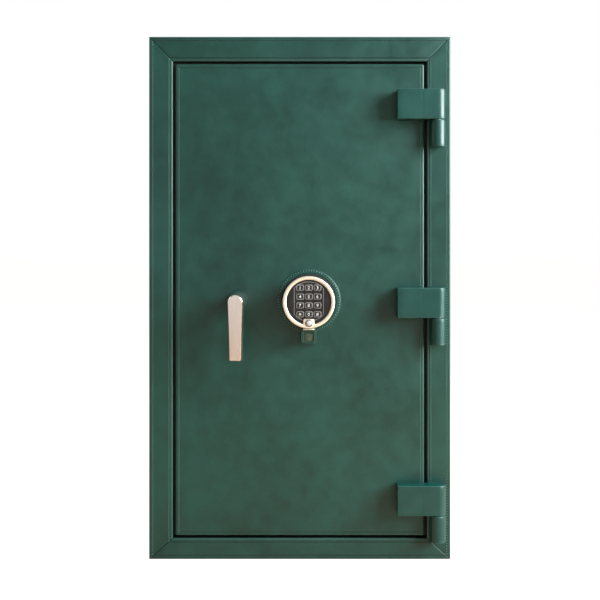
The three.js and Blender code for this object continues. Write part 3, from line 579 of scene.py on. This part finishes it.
def make_body_wrap():
    """One hide goes up, over and down the body, and its edge is turned in and glued on the steel back."""
    deep = BACK - FRONT
    start = RETURN_DEPTH + 0.25
    glued = 16
    # The rounded edges are paler: worn hide and a painted highlight.
    section = [(HIDE_INSIDE, start, 0), (0.9, start, 0), (0.3, start + 0.25, 0.5), (0, start + 0.9, 0.6)]
    section += [(dip, WRAP_ROW + aside, 0)
                for dip, aside in ((0, -1.05), (STITCH_DIP, -0.35), (STITCH_DIP, 0.35), (0, 1.05))]
    section += [(0, start + 7, 0), (0, deep - 3, 0), (0, deep - 1.2, 0)]
    section += [(inset, deep + 1.0 - (EDGE_ROUND - depth), wear_and_shine)
                for depth, inset, wear_and_shine in reversed(quarter_round(EDGE_ROUND))]
    section += [(glued - 1, deep + 1.0, 0), (glued, deep + 0.7, 0.4), (glued, deep + 0.05, 0),
                (HIDE_INSIDE + 0.6, deep + 0.05, 0), (HIDE_INSIDE, deep - 0.4, 0)]
    bm = bmesh.new()
    swept(bm, section, arch)
    piece("body_wrap", bm, [HIDE], "carcass",
          ["side_leather_left", "side_leather_right", "top_leather"])


def make_door_cover():
    """The door's hide is turned round the plate's edges and stitched just inside them."""
    corner, edge_round, flat, fold = 3.2, 2.3, 20, 1.05
    section = [(flat, HIDE_THICK, 0), (fold, HIDE_THICK, 0), (fold, DOOR_RETURN, 0), (0, DOOR_RETURN, 0)]
    # The bands from the back of the plate round into the door gap get the black painted shade.
    gap_shade_bands = len(section)
    section += quarter_round(edge_round) + stitch_groove(DOOR_STITCH_INSET)
    section += [(DOOR_STITCH_INSET + 2, 0, 0), (flat, 0, 0)]
    bm = bmesh.new()
    rings = [face_on(rounded_rect(*DOOR, corner, inset), -depth) for inset, depth, _ in section]
    # The rounded edge is paler at half strength: worn hide and a painted highlight.
    skin(bm, rings, bands=[1] * gap_shade_bands + [0] * (len(section) - 1 - gap_shade_bands),
         rub=[wear_and_shine * 0.5 for *_, wear_and_shine in section])
    piece("door_cover", bm, [HIDE, GAP_PAINTED_SHADE], "door", ["door_leather"])


# ---------- hinges ----------

HINGE_PLACES = ("top", "middle", "bottom")
STRAP_SEAM = 200.0  # where the hide's two edges meet on the strap, from the safe's middle
BORE_END = 6  # how far each blind bore stops short of the far end
PIN_SLACK = 0.3
STEEL_FACE = -212  # front of the steel that the hinge blocks are bolted to
BLOCK_HALF = 17  # half the height of those blocks


def upright_case(bm, plan, z0, z1, edge, axis, bore, bore_from_top):
    """A leather-cased hinge part: its plan carried up between round edges, with a blind bore for
    the pin."""
    away = [(Vector(point) - Vector(axis)).normalized() for point in plan]
    bored = [(axis[0] + bore * way.x, axis[1] + bore * way.y) for way in away]
    rings, rub = [], []

    def level(points, z, wear_and_shine=0.0):
        rings.append([(u, v, z) for u, v in points])
        rub.append(wear_and_shine)

    blind = z0 + BORE_END if bore_from_top else z1 - BORE_END
    if not bore_from_top:
        level(bored, blind)
        level(bored, z0)
    creases = ((0.7, 0), (1.2, 0.2), (1.7, 0), (3, 0))
    # The rounded ends are paler: worn hide and a painted highlight.
    for inset, depth, wear_and_shine in reversed(quarter_round(edge, 4)):
        level(offset(plan, inset), z0 + depth, wear_and_shine)
    for past, dip in creases:
        level(offset(plan, dip), z0 + edge + past)
    for past, dip in reversed(creases):
        level(offset(plan, dip), z1 - edge - past)
    for inset, depth, wear_and_shine in quarter_round(edge, 4):
        level(offset(plan, inset), z1 - depth, wear_and_shine)
    if bore_from_top:
        level(bored, z1)
        level(bored, blind)
    skin(bm, rings, rub=rub)


def strap_plan(left, axis, radius):
    """A strap seen from above: square at the door's end, with a seam on its face, round at the pin."""
    front, rear = axis[1] - radius, axis[1] + radius
    corner, seam_half, seam_dip = 0.9, 0.8, 0.07
    plan = arc((left + corner, rear - corner), corner, 90, 180, 3)
    plan += arc((left + corner, front + corner), corner, 180, 270, 4)
    plan += [(left + 12, front), (STRAP_SEAM - 4, front), (STRAP_SEAM - seam_half, front),
             (STRAP_SEAM, front + seam_dip), (STRAP_SEAM + seam_half, front), (STRAP_SEAM + 4, front),
             (axis[0] - 6, front)]
    return plan + arc(axis, radius, 270, 450, 28) + [(axis[0] - 10, rear)]


def make_hinge(place):
    """A strap on the door over a knuckle on the frame, each with the block that bolts it to the steel."""
    strap_low, strap_high = span(f"hinge_strap_{place}")
    pin_low, pin_high = span(f"hinge_pin_{place}")
    axis = ((pin_low.x + pin_high.x) / 2, (pin_low.y + pin_high.y) / 2)
    radius = strap_high.x - axis[0]
    rear = axis[1] + radius
    bore = (pin_high.x - pin_low.x) / 2 + PIN_SLACK
    plans = {"strap": strap_plan(strap_low.x, axis, radius), "knuckle": arc(axis, radius, 0, 360, 48)[:-1]}
    for part, body, edge, left, right, lap in (("strap", "door", 1.3, -60, -30, 3),
                                               ("knuckle", "carcass", 1.4, -7, 7, 4)):
        low, high = span(f"hinge_{part}_{place}")
        middle = (low.z + high.z) / 2
        bm = bmesh.new()
        upright_case(bm, plans[part], low.z, high.z, edge, axis, bore, bore_from_top=part == "knuckle")
        solid_box(bm, (axis[0] + left, rear - lap, middle - BLOCK_HALF),
                  (axis[0] + right, STEEL_FACE, middle + BLOCK_HALF))
        piece(f"{part}_cover_{place}", bm, [HINGE_HIDE], body, [f"hinge_{part}_{place}"])


# ---------- handle ----------

LEVER_REACH = 94.0  # from the pivot down to the lever's foot
LEVER_WAIST = 10.6  # half widths
LEVER_FOOT = 9.8
LEVER_NOSE = 3.0
LEVER_BACK = 38.0  # how far the back of the lever stands off the door
BOSS_FACE, BOSS_RADIUS = 12.4, 13.0


def lever_plan():
    """The lever seen from the front: round at its pivot, tapering to a blunt rounded end."""
    def foot(side, start):
        centre = (HANDLE_X + side * (LEVER_FOOT - LEVER_NOSE), HANDLE_Z - LEVER_REACH + LEVER_NOSE)
        return arc(centre, LEVER_NOSE, start, start + 90, 5)

    flank = [(LEVER_WAIST + 0.9, -22), (LEVER_WAIST, -42)]
    plan = arc((HANDLE_X, HANDLE_Z), BOSS_FACE, -8, 188, 22)
    plan += [(HANDLE_X - half, HANDLE_Z + down) for half, down in flank]
    plan += foot(-1, 180) + foot(1, 270)
    plan += [(HANDLE_X + half, HANDLE_Z + down) for half, down in reversed(flank)]
    return plan


def make_lever():
    """A flared, bevelled lever on a round boss."""
    front = FRONT - span("lever_handle")[0].y
    plan = lever_plan()
    flare, bevel, slim = 1.6, 1.9, 0.4
    head, foot, ease = HANDLE_Z + 3, HANDLE_Z - LEVER_REACH + 5, 4
    levels = [(0.6 - flare, LEVER_BACK), (-flare, LEVER_BACK + 0.8), (-flare * 0.5, LEVER_BACK + 6.5),
              (0, front - bevel - 0.3), (0.12, front - bevel), (bevel - 0.25, front - 0.2),
              (bevel, front - 0.06), (bevel + 0.5, front), (bevel + 1.6, front + 0.02)]

    def eased(inset):
        """The bevel is wide over the head and the foot, and slim down the sides."""
        ring = []
        for (u, v), (to_u, to_v) in zip(plan, offset(plan, inset)):
            beyond = max(v - head, foot - v, 0) / ease
            share = 1.0 if inset <= 0 else slim + (1 - slim) * min(beyond, 1.0)
            ring.append((u + (to_u - u) * share, v + (to_v - v) * share))
        return ring

    bm = bmesh.new()
    skin(bm, [face_on(eased(inset), proud) for inset, proud in levels])
    boss = [(BOSS_FACE, 3.6), (BOSS_RADIUS, 4.2), (BOSS_RADIUS, LEVER_BACK + 1.5),
            (BOSS_RADIUS, LEVER_BACK + 3), (BOSS_FACE, LEVER_BACK + 4.6), (11.0, LEVER_BACK + 5.4)]
    turned(bm, (HANDLE_X, HANDLE_Z), boss, sides=72)
    piece("lever", bm, [GOLD], "handle", ["lever_handle"])


def make_rose():
    """The leather disc round the lever's spindle."""
    low, high = span("handle_rose")
    radius, thick = (high.x - low.x) / 2, FRONT - low.y
    rim = 3
    profile = [(7, 0.3), (radius, 0.3), (radius, thick - 1.2), (radius - 0.35, thick - 0.35),
               (radius - 1.2, thick), (radius - 3, thick), (8, thick), (7, thick - 0.6)]
    bm = bmesh.new()
    # Its rim is a little paler: worn hide and a painted highlight.
    turned(bm, (HANDLE_X, HANDLE_Z), profile, rub=[0.1 * (index == rim) for index in range(len(profile))])
    piece("handle_rose_cover", bm, [HIDE], "door", ["handle_rose"])


# ---------- keypad ----------

NOTCH_HALF = 13.2  # half the gap that the battery drawer needs in the collar
COLLAR_THICK = 0.8
COLLAR_INNER, COLLAR_OUTER, COLLAR_ROW = 44.8, 53.0, 50.15
SHADE_RING_INNER, SHADE_RING_OUTER = 40.4, 44.5
BEZEL_INNER, BEZEL_OUTER = 36.3, 42.1
BEZEL_BACK, BEZEL_FACE = 34.1, 42.4  # how far they stand off the door
STATUS_DROP = 33.7  # from the keypad's middle down to its light
KEY_LABELS = {"star": "*", "hash": "#"}


def notched_ring(radius, steps=96, clear=0.0):
    """A ring round the keypad, open at the bottom for the battery drawer."""
    lean = math.degrees(math.asin(NOTCH_HALF / radius)) + clear
    return arc((KEYPAD_X, KEYPAD_Z), radius, -90 + lean, 270 - lean, steps)


def below_keypad(half, foot, top):
    """A rectangle centred below the keypad, from its half width and how far down its ends are."""
    return KEYPAD_X - half, KEYPAD_X + half, KEYPAD_Z - foot, KEYPAD_Z - top


def make_collar():
    """A ring of hide sewn round the keypad's hole, and a black ring round the bezel's edge: painted shade where
    the bezel's shadow falls.
    """
    def outline(radius):
        return [(u, v, 0) for u, v in notched_ring(radius)]

    lift, sunk = 0.02, COLLAR_THICK - 0.25
    # Its inner edge is a little paler: worn hide and a painted highlight.
    hide = [(COLLAR_INNER, 0, 0), (COLLAR_OUTER, 0, 0), (COLLAR_OUTER, 0.05, 0), (52.6, 0.2, 0),
            (51.9, 0.5, 0), (51.2, COLLAR_THICK, 0), (COLLAR_ROW + 0.35, sunk, 0),
            (COLLAR_ROW - 0.35, sunk, 0), (49.3, COLLAR_THICK, 0), (46.0, COLLAR_THICK, 0),
            (45.2, COLLAR_THICK - 0.15, 0.3), (COLLAR_INNER, COLLAR_THICK - 0.5, 0.2)]
    bm = bmesh.new()
    swept(bm, [(radius, -proud - lift, rub) for radius, proud, rub in hide], outline)
    piece("keypad_collar_cover", bm, [HIDE], "door", ["keypad_collar"])

    # Black ring under the bezel's edge: painted shade.
    shade_ring = [(SHADE_RING_INNER, 0.05), (SHADE_RING_OUTER, 0.05), (SHADE_RING_OUTER, 1.0), (44.0, 1.8), (43.0, 2.3),
              (42.0, 2.3), (SHADE_RING_INNER, 2.0)]
    bm = bmesh.new()
    swept(bm, [(radius, -proud, 0) for radius, proud in shade_ring], outline)
    piece("keypad_shade_ring", bm, [SEAL], "door")


def make_bezel():
    """The bright ring round the keypad, its tongue for the light, and the light's silver dome."""
    ring = [(BEZEL_INNER, BEZEL_BACK), (41.4, BEZEL_BACK), (42.0, 34.7), (BEZEL_OUTER, 35.4),
            (BEZEL_OUTER, 40.9), (41.95, 41.5), (41.6, 42.0), (41.1, 42.3), (40.4, BEZEL_FACE),
            (39.2, 42.38), (38.0, 42.3), (37.2, 42.1), (36.7, 41.7), (36.4, 41.0)]
    tongue = below_keypad(8.8, 39, 27)
    bm = bmesh.new()
    turned(bm, (KEYPAD_X, KEYPAD_Z), ring, sides=144, wrap=True)
    skin(bm, [face_on(rounded_rect(*tongue, 2.0, inset), proud)
              for inset, proud in ((0, 39.7), (0, 41.7), (0.15, 42.1), (0.5, 42.3))])
    piece("bezel", bm, [CHAMPAGNE], "door", ["bezel_ring"])

    collar, lens, swell = 5.9, 4.6, 1.7
    seat = [(collar, 41.4), (collar, 42.5), (collar - 0.3, 42.7), (lens + 0.3, 42.7), (lens, BEZEL_FACE)]
    dome = [(lens * math.cos(math.radians(a)), BEZEL_FACE + swell * math.sin(math.radians(a)))
            for a in (15, 30, 45, 60, 75, 86)]
    bm = bmesh.new()
    turned(bm, (KEYPAD_X, KEYPAD_Z - STATUS_DROP), seat + dome, sides=48,
           bands=[0] * (len(seat) - 1) + [1] * len(dome))
    piece("status_dome", bm, [PLASTIC, DOME], "door", ["status_window"])


def make_panel_rim():
    """A raised grey line round the keys: straight sides, with its ends following the ring."""
    half, reach, wide, height = 24.0, 32.2, 0.87, 0.3
    centre = (KEYPAD_X, KEYPAD_Z + 1.2)
    lean = math.degrees(math.acos(half / reach))
    outer = arc(centre, reach, lean, 180 - lean, 24) + arc(centre, reach, 180 + lean, 360 - lean, 24)
    face = FRONT - span("keypad_face")[0].y
    levels = [(0, -0.1), (0, 0.22), (0.12, height), (wide - 0.12, height), (wide, 0.22), (wide, -0.1)]
    bm = bmesh.new()
    skin(bm, [face_on(offset(outer, inset), face + rise) for inset, rise in levels], wrap=True)
    piece("panel_rim", bm, [RIM], "door")


def glyph(bm, label, centre, proud, size, material_index):
    """Lay a digit, star or hash on a key as thin raised print."""
    curve = bpy.data.curves.new("glyph", "FONT")
    curve.body = KEY_LABELS.get(label, label)
    curve.size = size
    curve.align_x, curve.align_y = "CENTER", "CENTER"
    curve.extrude = 0.06
    curve.resolution_u = 3
    curve.offset = 0.012 * size
    holder = placed("glyph", curve)
    bpy.context.view_layer.update()
    mesh = bpy.data.meshes.new_from_object(holder)
    points = [vert.co for vert in mesh.vertices]
    middle = Vector([(min(p[i] for p in points) + max(p[i] for p in points)) / 2 for i in range(3)])
    mesh.transform(Matrix.Scale(MM, 4) @ Matrix.Translation((centre[0], FRONT - proud, centre[1]))
                   @ Matrix.Rotation(math.pi / 2, 4, "X") @ Matrix.Translation(-middle))
    known = set(bm.faces)
    bm.from_mesh(mesh)
    for face in bm.faces:
        if face not in known:
            face.material_index = material_index
    bpy.data.objects.remove(holder)
    bpy.data.curves.remove(curve)
    bpy.data.meshes.remove(mesh)


def make_key(label):
    """A dished key with a grey printed edge and its generic label."""
    node = f"key_{label}"
    low, high = span(node)
    front, back = FRONT - low.y, FRONT - high.y
    levels = [(0, back), (0, front - 0.8), (0.12, front - 0.35), (0.45, front - 0.08), (0.8, front),
              (1.35, front), (1.5, front - 0.12), (2.0, front - 0.16), (3.4, front - 0.24)]
    bm = bmesh.new()
    skin(bm, [face_on(rounded_rect(*outline_of(node), 2.6, inset, 4), proud)
              for inset, proud in levels], bands=[0, 0, 1, 1, 1, 0, 0, 0])
    label_size = 9.0 if label == "star" else 7.0
    glyph(bm, label, middle_of(node), front - 0.2, label_size, 2)
    piece(f"key_cap_{label}", bm, [PLASTIC, RIM, DIGIT], node, [node])


def make_drawer():
    """The battery drawer in its hide, with the bright lip across its head and the welts on its tab."""
    refined("battery_drawer", HIDE, "battery_drawer", edge=0.9, steps=3, name="drawer_cover")
    lip = below_keypad(9.35, 46.8, 44.2)
    bm = bmesh.new()
    skin(bm, [face_on(rounded_rect(*lip, 0.8, inset, 3), proud)
              for inset, proud in ((0, 15.4), (0, 17.2), (0.2, 17.7), (0.6, 18.0))])
    piece("drawer_lip", bm, [CHAMPAGNE], "battery_drawer")

    foot = KEYPAD_Z - span("battery_drawer")[0].z
    tab, olive = below_keypad(12.2, foot, foot - 23), below_keypad(12.2, foot, foot - 20)
    welt = [(0, 15.8), (0, 16.15), (0.2, 16.35), (0.5, 16.35), (0.7, 16.15), (0.7, 15.8)]
    bm = bmesh.new()
    # The welts are fully paler: worn hide and a painted highlight along their ridges.
    for inset in (0.3, 3.0):
        skin(bm, [face_on(rounded_rect(*tab, 3.9, inset + across, 4), proud) for across, proud in welt],
             wrap=True, rub=[1.0] * len(welt))
    skin(bm, [face_on(rounded_rect(*olive, 4.4, inset, 4), proud)
              for inset, proud in ((3.9, 14.05), (3.9, 14.3), (4.1, 14.45))], bands=[1, 1])
    piece("drawer_tab_trim", bm, [HIDE, TAB_HIDE], "battery_drawer")


# ---------- stitching ----------

# Thread width, needle hole width and finish of a row.
UPRIGHT = (1.4, 2.3, LIT_THREAD)  # upright rows: paler thread, a painted highlight where the light from the right catches them
LEVEL = (0.7, 2.5, SHADED_THREAD)  # level rows: darker thread, painted shade, and wider needle holes
STITCH_FINISHES = (LIT_THREAD, HOLE_SHADE, SHADED_THREAD)
AHEAD, BEHIND, LEFTWARD, RIGHTWARD, UPWARD = (0, -1, 0), (0, 1, 0), (-1, 0, 0), (1, 0, 0), (0, 0, 1)


def stitch_tree():
    """Geometry Nodes that lay a stitch and a dark needle-hole dimple, painted shade, every pitch along the
    edges of a path, turned to face one way. Lengths in the tree are metres."""
    tree = Tree(bpy.data.node_groups.new("stitch_row", "GeometryNodeTree"))
    sizes = {"Pitch": 0.0044, "Length": 0.0024, "Thread": 0.00085, "Lean": 0.16, "Hole": 0.0011,
             "Hole Depth": 0.0003, "Hole Sink": -0.00008}
    face = tree.tree.interface
    face.new_socket("Path", in_out="INPUT", socket_type="NodeSocketGeometry")
    for label, value in sizes.items():
        face.new_socket(label, in_out="INPUT", socket_type="NodeSocketFloat").default_value = value
    face.new_socket("Facing", in_out="INPUT", socket_type="NodeSocketVector").default_value = AHEAD
    for label in ("Finish", "Shade"):
        face.new_socket(label, in_out="INPUT", socket_type="NodeSocketMaterial")
    face.new_socket("Stitches", in_out="OUTPUT", socket_type="NodeSocketGeometry")
    given, result = tree.add("NodeGroupInput").outputs, tree.add("NodeGroupOutput")

    curve = tree.add("GeometryNodeMeshToCurve", {"Mesh": given["Path"]}).outputs["Curve"]
    evenly = tree.add("GeometryNodeResampleCurve", {"Curve": curve, "Length": given["Pitch"]}, mode="LENGTH")
    tangent = tree.add("GeometryNodeInputTangent").outputs["Tangent"]
    lengthwise = tree.add("FunctionNodeAlignRotationToVector", {"Vector": tangent}, axis="X")
    upright = tree.add("FunctionNodeAlignRotationToVector", {
        "Rotation": lengthwise.outputs["Rotation"], "Vector": given["Facing"]}, axis="Z", pivot_axis="X")
    bead, pit = (tree.add("GeometryNodeMeshUVSphere", {"Segments": 6, "Rings": rings, "Radius": 0.5})
                 for rings in (4, 3))
    stitch = tree.add("GeometryNodeTransform", {
        "Geometry": bead.outputs["Mesh"], "Rotation": tree.vector(Z=given["Lean"]),
        "Scale": tree.vector(X=given["Length"], Y=given["Thread"], Z=given["Thread"])})
    between_stitches = tree.math("MULTIPLY", given["Pitch"], 0.5)
    hole = tree.add("GeometryNodeTransform", {
        "Geometry": pit.outputs["Mesh"], "Translation": tree.vector(X=between_stitches, Z=given["Hole Sink"]),
        "Scale": tree.vector(X=given["Hole"], Y=given["Hole"], Z=given["Hole Depth"])})

    both = tree.add("GeometryNodeJoinGeometry")
    for shape, material in ((stitch, "Finish"), (hole, "Shade")):
        copies = tree.add("GeometryNodeInstanceOnPoints", {
            "Points": evenly.outputs["Curve"], "Instance": shape.outputs["Geometry"],
            "Rotation": upright.outputs["Rotation"]}).outputs["Instances"]
        real = tree.add("GeometryNodeRealizeInstances", {"Geometry": copies}).outputs["Geometry"]
        smooth = tree.add("GeometryNodeSetShadeSmooth", {"Geometry": real}).outputs["Geometry"]
        finished = tree.add("GeometryNodeSetMaterial", {"Geometry": smooth, "Material": given[material]})
        tree.put(finished.outputs["Geometry"], both.inputs["Geometry"])
    tree.put(both.outputs["Geometry"], result.inputs["Stitches"])
    return tree.tree


def sew(tree, rows, facing, thread_width, hole_width, finish):
    """Run stitches along rows of points and give back their mesh."""
    path = bpy.data.meshes.new("stitch_path")
    verts, edges = [], []
    for points, closed in rows:
        first, count = len(verts), len(points)
        verts += [tuple(Vector(point) * MM) for point in points]
        edges += [(first + i, first + (i + 1) % count) for i in range(count if closed else count - 1)]
    path.from_pydata(verts, edges, [])
    holder = placed("stitch_path", path)
    modifier = holder.modifiers.new("stitches", "NODES")
    modifier.node_group = tree
    sockets = {item.name: item.identifier for item in tree.interface.items_tree if item.in_out == "INPUT"}
    values = {"Facing": tuple(float(value) for value in facing), "Thread": thread_width * MM,
              "Hole": hole_width * MM, "Finish": finish, "Shade": HOLE_SHADE}
    for label, value in values.items():
        modifier[sockets[label]] = value
    ready = holder.evaluated_get(bpy.context.evaluated_depsgraph_get())
    mesh = bpy.data.meshes.new_from_object(ready)
    bpy.data.objects.remove(holder)
    bpy.data.meshes.remove(path)
    return mesh


def stitched(name, body, batches, tree):
    """All of one body's stitches as a single piece."""
    bm = bmesh.new()
    names = [finish.name for finish in STITCH_FINISHES]
    for batch in batches:
        mesh = sew(tree, *batch)
        meaning = [names.index(material.name) if material else 0 for material in mesh.materials]
        for polygon in mesh.polygons:
            polygon.material_index = meaning[polygon.material_index]
        bm.from_mesh(mesh)
        bpy.data.meshes.remove(mesh)
    mesh = bpy.data.meshes.new(name)
    bm.to_mesh(mesh)
    bm.free()
    for material in STITCH_FINISHES:
        mesh.materials.append(material)
    obj = placed(name, mesh)
    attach(obj, body)


def straight(start, end):
    """A row between two points, in the form that sew takes."""
    return [start, end], False


def box_rows(x0, x1, z0, z1, inset, y, corner=2.5):
    """The four straight rows just inside a rectangle: two upright, then two level."""
    x0, x1, z0, z1 = x0 + inset, x1 - inset, z0 + inset, z1 - inset
    upright = [straight((x, y, z0 + corner), (x, y, z1 - corner)) for x in (x0, x1)]
    level = [straight((x0 + corner, y, z), (x1 - corner, y, z)) for z in (z0, z1)]
    return upright, level


def mitre_rows(y, beside=5.2, along=(0.27, 0.92)):
    """A row on each side of every mitre, over a share of its length."""
    rows = []
    for outer, inner in frame_corners().values():
        seam = Vector(inner) - Vector(outer)
        across = Vector((-seam.y, seam.x)).normalized() * beside
        for side in (-1, 1):
            ends = [Vector(outer) + seam * share + across * side for share in along]
            rows.append(straight(*[(end.x, y, end.y) for end in ends]))
    return rows


def make_stitches():
    """Every row on the frame and the body, then every row on the door."""
    tree = stitch_tree()
    seat = FRONT + 0.02
    x0, x1, z0, z1 = OUTER
    outer_up, outer_level = box_rows(*OUTER, STITCH_INSET, seat)
    inner_up, inner_level = box_rows(*OPENING, -GAP_STITCH_INSET, seat)
    wrap_y, sink = FRONT + WRAP_ROW, 0.05
    stitched("carcass_stitches", "carcass", [
        (outer_up + inner_up, AHEAD, *UPRIGHT),
        (outer_level + inner_level + mitre_rows(seat), AHEAD, *LEVEL),
        ([straight((x0 + sink, wrap_y, z0 + 3), (x0 + sink, wrap_y, z1 - 4))], LEFTWARD, *UPRIGHT),
        ([straight((x0 + 4, wrap_y, z1 - sink), (x1 - 4, wrap_y, z1 - sink))], UPWARD, *UPRIGHT),
        ([straight((x1 - sink, wrap_y, z1 - 4), (x1 - sink, wrap_y, z0 + 3))], RIGHTWARD, *UPRIGHT),
    ], tree)

    door_up, door_level = box_rows(*DOOR, DOOR_STITCH_INSET, seat)
    collar_row = face_on(notched_ring(COLLAR_ROW, 80, 1.5), COLLAR_THICK - 0.05)
    panel_row = face_on(rounded_rect(*outline_of("door_inner_panel"), PANEL_CORNER, PANEL_ROW),
                        FRONT - span("door_inner_panel")[1].y + 0.1)
    stitched("door_stitches", "door", [
        (door_up, AHEAD, *UPRIGHT), (door_level, AHEAD, *LEVEL), ([(collar_row, False)], AHEAD, *UPRIGHT),
        ([(panel_row, True)], BEHIND, *UPRIGHT),
    ], tree)


# ---------- inside and behind ----------

PANEL_CORNER = 8
PANEL_ROW = 9  # its row of stitches, from its edge


def make_inner_panel():
    """The suede-covered panel on the back of the door, with a stitched channel round its edge."""
    low, high = span("door_inner_panel")
    thick = high.y - low.y
    section = [(0, 0), (0, thick - 1.5), (0.4, thick - 0.4), (1.5, thick), (PANEL_ROW - 1.4, thick),
               (PANEL_ROW - 0.8, thick - 0.5), (PANEL_ROW + 0.8, thick - 0.5), (PANEL_ROW + 1.4, thick),
               (13, thick + 0.3)]
    bm = bmesh.new()
    outline = outline_of("door_inner_panel")
    skin(bm, [face_on(rounded_rect(*outline, PANEL_CORNER, inset), FRONT - low.y - depth)
              for inset, depth in section])
    piece("inner_panel_cover", bm, [SUEDE], "door", ["door_inner_panel"])


# Nodes that keep their CAD shape: body, material, finish slot, and how far each one's edges are rounded.
CARRIED = (
    ("carcass", PAINT, "painted_steel", {"outer_casing": 0.6, "front_frame": 0.6}),
    ("carcass", SUEDE, "suede_lining", {"interior_lining": 1.2, "lower_shelf": 2.0, "upper_shelf": 2.0}),
    ("carcass", SEAL, "seal_rubber", {"fire_seal": 0.4}),
    ("carcass", STEEL, "bare_steel", {f"hinge_pin_{place}": 0.4 for place in HINGE_PLACES}),
    ("door", PAINT, "bare_steel", {"door_plate": 0.5}),
    ("door", PAINT, "painted_steel", {"boltwork_box": 0.5}),
    ("door", PLASTIC, "black_plastic", {"keypad_housing": 0.8, "keypad_face": 0.25}),
    ("door", STEEL, "bare_steel", {"lock_case": 0.6, "hinge_side_dog_bar": 0.8}),
    ("handle", STEEL, "bare_steel", {"handle_spindle": 0.3, "drive_pinion": 0.2}),
    ("side_bolts", STEEL, "bare_steel", {"bolt_carrier": 0.4}),
    ("side_bolts", CHROME, "bare_steel", {f"side_bolt_{place}": 1.0 for place in ("upper", "middle", "lower")}),
    *((bolt, CHROME, "bare_steel", {bolt: 0.5}) for bolt in ("top_bolt", "bottom_bolt", "lock_bolt")),
    ("battery_drawer", BATTERY, "battery_wrap", {"battery": 0.8}),
)


def make_carried():
    """Round the edges of the steel, rubber and plastic parts, and finish the two that stay as they are."""
    for body, material, finish, nodes in CARRIED:
        for node, edge in nodes.items():
            refined(node, material, body, edge)
    for node, material in (("fire_fill", BOARD), ("inner_casing", PAINT)):
        for slot in NODES[node].material_slots:
            slot.material = material


make_frame_strips()
make_body_wrap()
make_door_cover()
for place in HINGE_PLACES:
    make_hinge(place)
make_lever()
make_rose()
make_collar()
make_bezel()
make_panel_rim()
for label in [str(number) for number in range(10)] + list(KEY_LABELS):
    make_key(label)
make_drawer()
make_inner_panel()
make_carried()
make_stitches()


# ---------- floor, light and camera ----------

FLOOR_REACH = 40.0  # metres
FLOOR_GLOW = 0.97  # how bright the floor looks to the camera, so that it meets the white behind it
ROOM_LIGHT = 0.09


def make_floor():
    """A warm floor for the light, and white for the camera."""
    corners = [(x * FLOOR_REACH, y * FLOOR_REACH, 0) for x, y in ((-1, -1), (1, -1), (1, 1), (-1, 1))]
    mesh = bpy.data.meshes.new("floor")
    mesh.from_pydata(corners, [], [(0, 1, 2, 3)])
    shader = Shader("pale_floor", Base_Color=(0.55, 0.38, 0.27, 1), Roughness=0.9, Specular_IOR_Level=0.0,
                    Emission_Color=(1, 1, 1, 1))
    seen = shader.add("ShaderNodeLightPath").outputs["Is Camera Ray"]
    shader.feed(shader.ramp(seen, 0.0, FLOOR_GLOW, 0.0, 1.0), "Emission Strength")
    mesh.materials.append(shader.material)
    placed("floor", mesh)


def make_world():
    """A dim warm room for the light, and plain white for the camera."""
    world = bpy.data.worlds.new("soft_room")
    bpy.context.scene.world = world
    world.use_nodes = True
    world.node_tree.nodes.clear()
    tree = Tree(world.node_tree)
    room = tree.add("ShaderNodeBackground", {"Color": (1.0, 0.98, 0.94, 1), "Strength": ROOM_LIGHT})
    paper = tree.add("ShaderNodeBackground", {"Color": (1, 1, 1, 1), "Strength": 1.0})
    seen = tree.add("ShaderNodeLightPath").outputs["Is Camera Ray"]
    mix = tree.add("ShaderNodeMixShader", {"Fac": seen, 1: room.outputs["Background"],
                                           2: paper.outputs["Background"]})
    tree.add("ShaderNodeOutputWorld", {"Surface": mix.outputs["Shader"]})


def softbox(name, azimuth, elevation, distance, size, watts, colour):
    """An area light aimed at the safe's middle, in metres and degrees. Azimuth 0 is straight in
    front, and 90 is to the right."""
    lamp = bpy.data.lights.new(name, "AREA")
    lamp.shape = "RECTANGLE"
    lamp.size, lamp.size_y = size
    lamp.energy, lamp.color = watts, colour
    turn, rise = math.radians(azimuth), math.radians(elevation)
    away = Vector((math.sin(turn) * math.cos(rise), -math.cos(turn) * math.cos(rise), math.sin(rise)))
    holder = placed(name, lamp)
    holder.location = Vector((0, -0.1, 0.43)) + away * distance
    holder.rotation_euler = (-away).to_track_quat("-Z", "Y").to_euler()


def make_camera():
    """A level camera in front of the door; its shift keeps the safe's edges upright."""
    lens = bpy.data.cameras.new("camera")
    lens.lens, lens.sensor_width = 54.3, 36.0
    lens.shift_x, lens.shift_y = -0.0167, -0.083
    camera = placed("camera", lens)
    camera.location = (0.017, -1.715, 0.513)
    camera.rotation_euler = (math.pi / 2, 0, 0)
    bpy.context.scene.camera = camera


make_floor()
make_world()
for name, azimuth, elevation, distance, size, watts, colour in (
        ("key_softbox", 66, 20, 2.0, (1.3, 1.4), 152, (0.93, 1.0, 0.99)),
        ("left_fill", -93, 24, 2.0, (2.4, 1.8), 18, (1.0, 0.9, 0.8)),
        ("front_panel", -3, 8, 2.7, (2.6, 2.4), 12.5, (1.0, 0.98, 0.95)),
        ("ceiling", 0, 82, 2.1, (2.6, 2.0), 12, (1.0, 0.99, 0.97))):
    softbox(name, azimuth, elevation, distance, size, watts, colour)
make_camera()
bpy.context.scene.view_settings.view_transform = "Standard"
